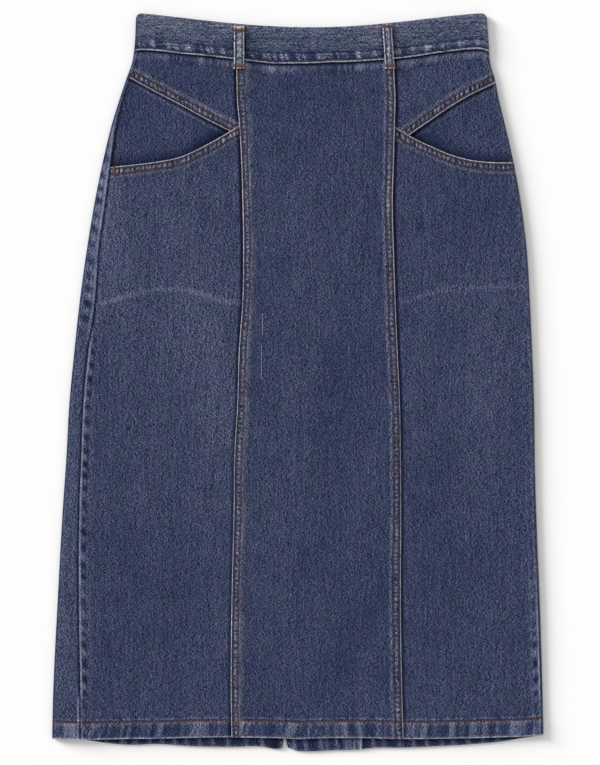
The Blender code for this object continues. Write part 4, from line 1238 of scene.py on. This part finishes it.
def loop_face(loop, across, drop):
    """x, the height of both faces and the tone of a belt loop, at a distance across it and a drop."""
    share = (drop - loop.top) / (LOOP_END - loop.top)
    x = loop.x + loop.lean * share + across * (1 + LOOP_FLARE * bump(drop, LOOP_END, 5))
    below_seam = step(drop - waist_seam(np.full_like(x, loop.x)), *LOOP_OVER_SEAM)
    base = lie(x, drop) + WAISTBAND_RISE + (SEAM_RISE - WAISTBAND_RISE) * below_seam
    sewn = LOOP_TURN - LOOP_TURN_SLOPE
    clear = step(drop - loop.top, sewn, sewn + LOOP_RAMP)
    clear = clear * step(LOOP_END - drop, LOOP_TURN, LOOP_TURN + LOOP_RAMP)
    low = base + LAYER_GAP + LOOP_CLEAR * clear
    from_edge = loop.width / 2 - np.abs(across)
    wall = LOOP_WALL + LOOP_TURN_WALL * (1 - clear) - roll(from_edge)
    wall = wall + LOOP_SELVEDGE * band(from_edge, LOOP_SELVEDGE_SHARE * loop.width)
    wall = wall - roll(np.minimum(drop - loop.top, LOOP_END - drop))
    beat = np.cos(2 * math.pi * drop / LOOP_PUCKER + 2 * wander(drop, 12, 81)) + 0.6 * wander(drop, 4, 82)
    row, middle = bump(from_edge, LOOP_ROW, 0.8), bump(across, 0, 2.4)
    wall = wall + 0.14 * beat * middle - ROW_DEPTH * row
    tone = LOOP_TONE + 70 * bump(from_edge, 0.45, 0.75) - 78 * row + (14 + 26 * beat) * middle
    tone = tone + loop.folded * (1 - step(drop - loop.top, 2.0, 3.2)) + 50 * bump(drop, LOOP_END - 0.8, 1.1)
    return x, low, low + wall, tone


for loop in LOOPS:
    across = np.concatenate([[0, 0.45], even(EDGE_ROLL_WIDTH, loop.width / 2, 0.75)]) - loop.width / 2
    across = np.concatenate([across, -across[-2::-1]])
    fixed, part = stations([0, 0.45, 0.9], [0, 0.45, 0.9], 60)
    drop = loop.top + fixed[:, None] + (LOOP_END - loop.top) * part[:, None] + 0 * across
    x, low, high, tone = loop_face(loop, across + 0 * drop, drop)
    flat_piece(loop.name, faded_denim, x, drop, (high, tone, 0.0), low,
               inside=(BAND_INSIDE, BAND_INSIDE))

# ---------------------------------------------------------------- the topstitching
# Rows of lockstitch in brown core-spun polyester, which has dulled with the wash, along every turned
# edge and the hem, and in navy along the waistband. A stitch is a short thread half sunk in the cloth.

STITCH = 3.6  # from needle hole to needle hole
STITCH_SHOWS = 3.4
THREAD = 1.0
POCKET_THREAD = 1.15  # the pockets' and the hem's are heavier ones
HEM_THREAD = 1.25
THREAD_LIFT = 0.1  # of its middle above the cloth
BACK_THREAD = 0.3  # height of its middle over the surface, in the troughs of the back
ROW_STEP = 2.0  # between the points of a row
PLY = 0.9  # between the thread's twisted plies
YOKE_ROW_ENDS = {"left": -0.5, "right": 1.5}  # how far past the side seam the pockets' rows run
MOUTH_ROW_ENDS = {"left": -1, "right": 1.5}
MOUTH_CLEAR = 1.5  # the yoke's rows end so far above the pocket mouth


def spun_thread(name, light, dark, roughness=0.62):
    """Plied sewing thread, with the dark lines of its twist and the dulling of the wash."""
    made, node = new_material(name)
    place = node("TexCoord").outputs["Object"]
    wave = node("TexWave", {"Vector": place, "Scale": 0.5 / (PLY * MM), "Distortion": 1.5},
                bands_direction="DIAGONAL")
    twist = wave.outputs["Fac"]
    dull = node("TexNoise", {"Vector": place, "Scale": 160.0})
    level = node("Math", {0: twist, 1: 0.45, 2: dull}, operation="MULTIPLY_ADD")
    colour = node("Mix", {"Factor": level, 6: linear(dark), 7: linear(light)}, data_type="RGBA")
    surface(node, colour.outputs[2], roughness, 0.3, twist, 0.4)
    return made


def sewing_tree():
    """Geometry nodes that lay stitches along a mesh's edges, turned as asked and a little uneven."""
    tree = bpy.data.node_groups.new("sewn_rows", "GeometryNodeTree")
    tree.is_modifier = True
    node = partial(add, tree)
    sockets = (("Rows", "Geometry"), ("Pitch", "Float"), ("Length", "Float"), ("Thickness", "Float"),
               ("Turn", "Float"), ("Seed", "Int"), ("Thread", "Material"))
    for name, kind in sockets:
        tree.interface.new_socket(name, in_out="INPUT", socket_type="NodeSocket" + kind)
    tree.interface.new_socket("Stitches", in_out="OUTPUT", socket_type="NodeSocketGeometry")
    given = node("NodeGroupInput").outputs
    line = node("GeometryNodeMeshToCurve", {"Mesh": given["Rows"]})
    spots = node("GeometryNodeCurveToPoints", {"Curve": line, "Length": given["Pitch"]}, mode="LENGTH")
    sway = node("FunctionNodeRandomValue", {2: -0.07, 3: 0.07, "Seed": given["Seed"]})
    stretch = node("FunctionNodeRandomValue", {2: 0.86, 3: 1.06, "Seed": given["Seed"]})
    angle = node("Math", {0: given["Turn"], 1: sway.outputs[1]}, operation="ADD")
    heading = node("VectorRotate", {"Vector": spots.outputs["Tangent"], "Angle": angle},
                   rotation_type="Z_AXIS")
    turned = node("FunctionNodeAlignRotationToVector", {"Vector": heading}, axis="Z")
    long = node("Math", {0: given["Length"], 1: stretch.outputs[1]}, operation="MULTIPLY")
    size = node("CombineXYZ", {0: given["Thickness"], 1: given["Thickness"], 2: long})
    bead = node("GeometryNodeMeshUVSphere", {"Segments": 5, "Rings": 4, "Radius": 0.5})
    laid = node("GeometryNodeInstanceOnPoints",
                {"Points": spots, "Instance": bead, "Rotation": turned, "Scale": size})
    smooth = node("GeometryNodeSetShadeSmooth", {0: node("GeometryNodeRealizeInstances", {0: laid})})
    done = node("GeometryNodeSetMaterial", {0: smooth, "Material": given["Thread"]})
    node("NodeGroupOutput", {0: done})
    return tree


sewing = sewing_tree()


def as_mesh(name, guide):
    """Keeps what a guide object shows as one plain mesh, and takes the guide away."""
    graph = bpy.context.evaluated_depsgraph_get()
    made = placed(name, bpy.data.meshes.new_from_object(guide.evaluated_get(graph)))
    bpy.data.objects.remove(guide)
    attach(made, "root")
    return made


def stitched(name, rows, thread, seed, pitch=STITCH, length=STITCH_SHOWS, thickness=THREAD, turn=0.0):
    """Lays thread along rows of points."""
    data = bpy.data.meshes.new(name)
    ends = np.cumsum([0] + [len(row) for row in rows])
    edges = [(k, k + 1) for start, end in zip(ends, ends[1:]) for k in range(start, end - 1)]
    data.from_pydata((np.concatenate(rows) * MM).tolist(), edges, [])
    guide = placed(name + "_guide", data)
    modifier = guide.modifiers.new("sewing", "NODES")
    modifier.node_group = sewing
    values = {"Pitch": pitch * MM, "Length": length * MM, "Thickness": thickness * MM, "Turn": turn,
              "Seed": seed, "Thread": thread}
    for item in sewing.interface.items_tree:
        if item.in_out == "INPUT" and item.name in values:
            modifier[item.identifier] = values[item.name]
    as_mesh(name, guide)


def fold_height(side, x, drop):
    """Height of the fold's round at one side of the skirt."""
    radius = fold_radius(side, drop, 0)
    out = np.clip(side.sign * (x - fold_edge(side, drop)) + radius, 0, radius)
    return radius + np.sqrt(radius * radius - out * out)


def front_face(x, drop):
    """Height of whichever front panel, or strip of the back, is at a place below the pockets."""
    height = centre_face(x, drop)[0]
    for side in SIDES:
        beside = into_centre(side, x, drop) < 0
        height = np.where(beside, side_face(side, x, drop)[0], height)
        height = np.where(out_of_seam(side, x, drop) > 0, lap_face(side, x, drop)[0], height)
    return height


def along_seam(side, seam, hem):
    """Drops of the points of a row along a seam, from just below the waist to just above the hem."""
    return np.arange(waist_seam(seam(side, 55)) + 1, hem(seam(side, LENGTH)) - 1, ROW_STEP)


def on_back(x, drop):
    """A row of points in a trough of the back."""
    return points(x, drop, BACK_THREAD + 0 * x)


brown_thread = spun_thread("brown_core_spun_thread", "#524547", "#2c262b")
hem_thread = spun_thread("brown_hem_thread", "#5f463f", "#2d2224")
navy_thread = spun_thread("navy_core_spun_thread", "#34374a", "#1c1e2c")
rust_thread = spun_thread("rust_bartack_thread", "#745041", "#38271f")

front_rows, back_rows, pocket_rows, strap_rows = [], [], [], []
for side in SIDES:
    hip = hips[side.name]
    pocket_edges = ((hip.yoke_edge, -1, 70, YOKE_ROW_ENDS, YOKE_WORN, YOKE_SEED, yoke_face),
                    (hip.mouth, 1, 168, MOUTH_ROW_ENDS, MOUTH_WORN, MOUTH_SEED, side_face))
    for k, row in enumerate(STITCH_ROWS):
        drop = along_seam(side, front_seam, front_hem)
        strays = seam_worn(side, drop).second - row + row_strays(drop, CENTRE_SEED[side.name])
        x = front_seam(side, drop) - side.sign * (row + strays * k)
        front_rows.append(points(x, drop, centre_face(x, drop)[0] + THREAD_LIFT))
        drop = along_seam(side, back_seam, back_hem)
        back_rows.append(on_back(back_seam(side, drop) - side.sign * row, drop))
        for line, way, seam_drop, past, worn, seed, face in pocket_edges:
            seam_end = side_seam(side, seam_drop) + past[side.name] * side.sign
            x = np.linspace(seam_end, front_seam(side, 125) + side.sign, 160)
            stray = worn[side.name].second - row + row_strays(x, seed[side.name])
            drop = line(x) + way * (row + stray * k) * incline(line, x)
            shows = (drop < hip.mouth(x) - MOUTH_CLEAR) | (way > 0)
            x, drop = x[shows], drop[shows]
            on_fold = out_of_seam(side, x, drop) > 0
            height = np.where(on_fold, fold_height(side, x, drop), face(side, x, drop)[0])
            pocket_rows.append(points(x, drop, height + THREAD_LIFT))

x = np.arange(*(fold_edge(side, 780) - 3.5 * side.sign for side in SIDES), 1.5)
drop = front_hem(x) - HEM_ROW
hem_rows = [points(x, drop, front_face(x, drop) + THREAD_LIFT)]
x = np.arange(-170, 201, ROW_STEP)
drop = waist_seam(x) - BAND_ROW
band_rows = [points(x, drop, lie(x, drop) + WAISTBAND_RISE + band_face(x, drop)[0] + THREAD_LIFT)]
for side in SIDES:
    x = np.arange(2, 247, ROW_STEP) * side.sign + centre_back(785) + side.sign * VENT_OPEN / 2
    hem_rows.append(on_back(x, back_hem(x) - HEM_ROW))
    x = centre_back(50) + side.sign * np.arange(2, 184, ROW_STEP)
    band_rows.append(on_back(x, waist_seam(x) - BAND_ROW))

for loop in LOOPS:
    for sign in (-1, 1):
        drop = np.arange(loop.top + 5, LOOP_END - 3, 1.0)
        x, low, high, tone = loop_face(loop, sign * (loop.width / 2 - LOOP_ROW) + 0 * drop, drop)
        strap_rows.append(points(x, drop, high + THREAD_LIFT))

stitched("front_topstitching", front_rows, brown_thread, 1)
stitched("back_topstitching", back_rows, brown_thread, 2)
stitched("pocket_topstitching", pocket_rows, brown_thread, 3, thickness=POCKET_THREAD)
stitched("hem_stitching", hem_rows, hem_thread, 4, thickness=HEM_THREAD)
stitched("waistband_stitching", band_rows, navy_thread, 5)
stitched("belt_loop_stitching", strap_rows, brown_thread, 6, pitch=2.8, length=2.4)

# One thick slub of bare cotton shows as a fine broken pale line in the centre panel, by its left seam.
SLUBS = (((-38.0, 329.0), (-38.2, 349.0)), ((-39.2, 364.0), (-39.4, 398.0)))  # x and drop of its two ends
cotton_yarn = spun_thread("bare_cotton_yarn", "#a9a9b9", "#868699", 0.9)
lengths = []
for start, end in SLUBS:
    x, drop = np.linspace(start, end, 12).T
    lengths.append(points(x, drop, centre_face(x, drop)[0] + 0.02))
stitched("slub_yarn", lengths, cotton_yarn, 10, 4.0, 5.2, 0.5)

# ---------------------------------------------------------------- the bartacks
# Close satin stitches in rust thread hold down both ends of each belt loop and the outer end of the
# left pocket mouth. At the right loop three strands have come loose and curl out to both sides.

TACK_PITCH = 0.5
TACK_WIDTH = 3.9
POCKET_TACK_WIDTH = 3.6
TACK_THREAD = 0.62
TACK_LIFT = 0.2
TOP_TACKS = {"belt_loop_left": 4.4, "belt_loop_right": 2.6}  # below the loop's top
LOW_TACK = 3.2  # above its lower end
LOOSE_THREAD = 0.27
LOOSE_ENDS = (  # distances across the right loop, drops and heights of three loose strands
    ((0, 14.6, 9.9), (-5.5, 14.2, 10.0), (-8.5, 16.2, 9.0), (-10.5, 19.5, 8.0), (-12.2, 22.6, 7.3)),
    ((1, 15.3, 9.9), (-6, 15.9, 9.6), (-9, 15.0, 9.2), (-12, 17.3, 8.2), (-13.8, 20.4, 7.3)),
    ((2.5, 14.8, 9.9), (5.6, 12.6, 9.9), (7.4, 14.8, 9.0), (6.3, 17.8, 9.0)),
)

tacks = []
for loop in LOOPS:
    for place, spread in ((loop.top + TOP_TACKS[loop.name], 0.5), (LOOP_END - LOW_TACK, 0.1)):
        reach = loop.width / 2 + spread
        across = np.linspace(-reach, reach, 30)
        drop = place + 0 * across
        x = loop_face(loop, across, drop)[0]
        high = loop_face(loop, np.clip(across, -loop.width / 2 + 1.5, loop.width / 2 - 1.5), drop)[2]
        tacks.append(points(x, drop, high + TACK_LIFT))
satin = {"thickness": TACK_THREAD, "turn": math.pi / 2}
stitched("belt_loop_bartacks", tacks, rust_thread, 7, TACK_PITCH, TACK_WIDTH, **satin)
drop = np.linspace(167.0, 176.5, 20)
x = side_seam(left, 170) + 4.0 + 0 * drop
high = side_face(left, x, np.maximum(drop, hips["left"].mouth(x) + 2))[0]
tack = points(x, drop, high + TACK_LIFT)
stitched("pocket_bartack", [tack], rust_thread, 8, TACK_PITCH, POCKET_TACK_WIDTH, **satin)

strands = bpy.data.curves.new("loose_thread", "CURVE")
strands.dimensions = "3D"
strands.bevel_depth = LOOSE_THREAD * MM
strands.bevel_resolution = 1
strands.use_fill_caps = True
for strand in LOOSE_ENDS:
    spline = strands.splines.new("NURBS")
    spline.points.add(len(strand) - 1)
    spline.use_endpoint_u = True
    spline.resolution_u = 6
    for point, (across, drop, height) in zip(spline.points, strand):
        point.co = (*(points(LOOPS[1].x + across, drop, height) * MM), 1.0)
loose = as_mesh("loose_thread", placed("loose_thread_line", strands))
loose.data.shade_smooth()
loose.data.materials.append(spun_thread("frayed_rust_thread", "#8f7161", "#5c463b"))

# ---------------------------------------------------------------- the zip
# A concealed zip inside the centre back seam, sewn shut and hidden between back and front: two woven
# polyester tapes, whose turned edges carry a coil of nylon teeth.

ZIP_TOP = 62.0
ZIP_END = 240.0
ZIP_HEIGHT = 2.95  # top of the rolled tape edges
TOOTH_PITCH = 1.5
TAPE_THREAD = 0.5

tape, node = new_material("woven_polyester_tape")
place = node("TexCoord").outputs["Object"]
ribs, twill = (node("TexWave", {"Vector": place, "Scale": scale / (TAPE_THREAD * MM)}, bands_direction=way)
               for scale, way in ((0.5, "Y"), (0.35, "DIAGONAL")))
weave = node("Math", {0: ribs.outputs["Fac"], 1: twill.outputs["Fac"]}, operation="MULTIPLY")
colour = node("Mix", {"Factor": weave, 6: linear("#161a2b"), 7: linear("#2a3048")}, data_type="RGBA")
surface(node, colour.outputs[2], 0.7, 0.3, weave, 0.5)
zip_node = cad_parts["back_zip"]
zip_node.data.materials.clear()
zip_node.data.materials.append(tape)

nylon_coil = spun_thread("navy_nylon_coil", "#3a4058", "#23273a", 0.35)
drop = np.arange(ZIP_TOP + 3, ZIP_END - 3, ROW_STEP)
coil_row = points(centre_back(drop), drop, ZIP_HEIGHT + 0.1 + 0 * drop)
stitched("zip_teeth", [coil_row], nylon_coil, 9, TOOTH_PITCH, 3.2, 0.7, math.pi / 2)
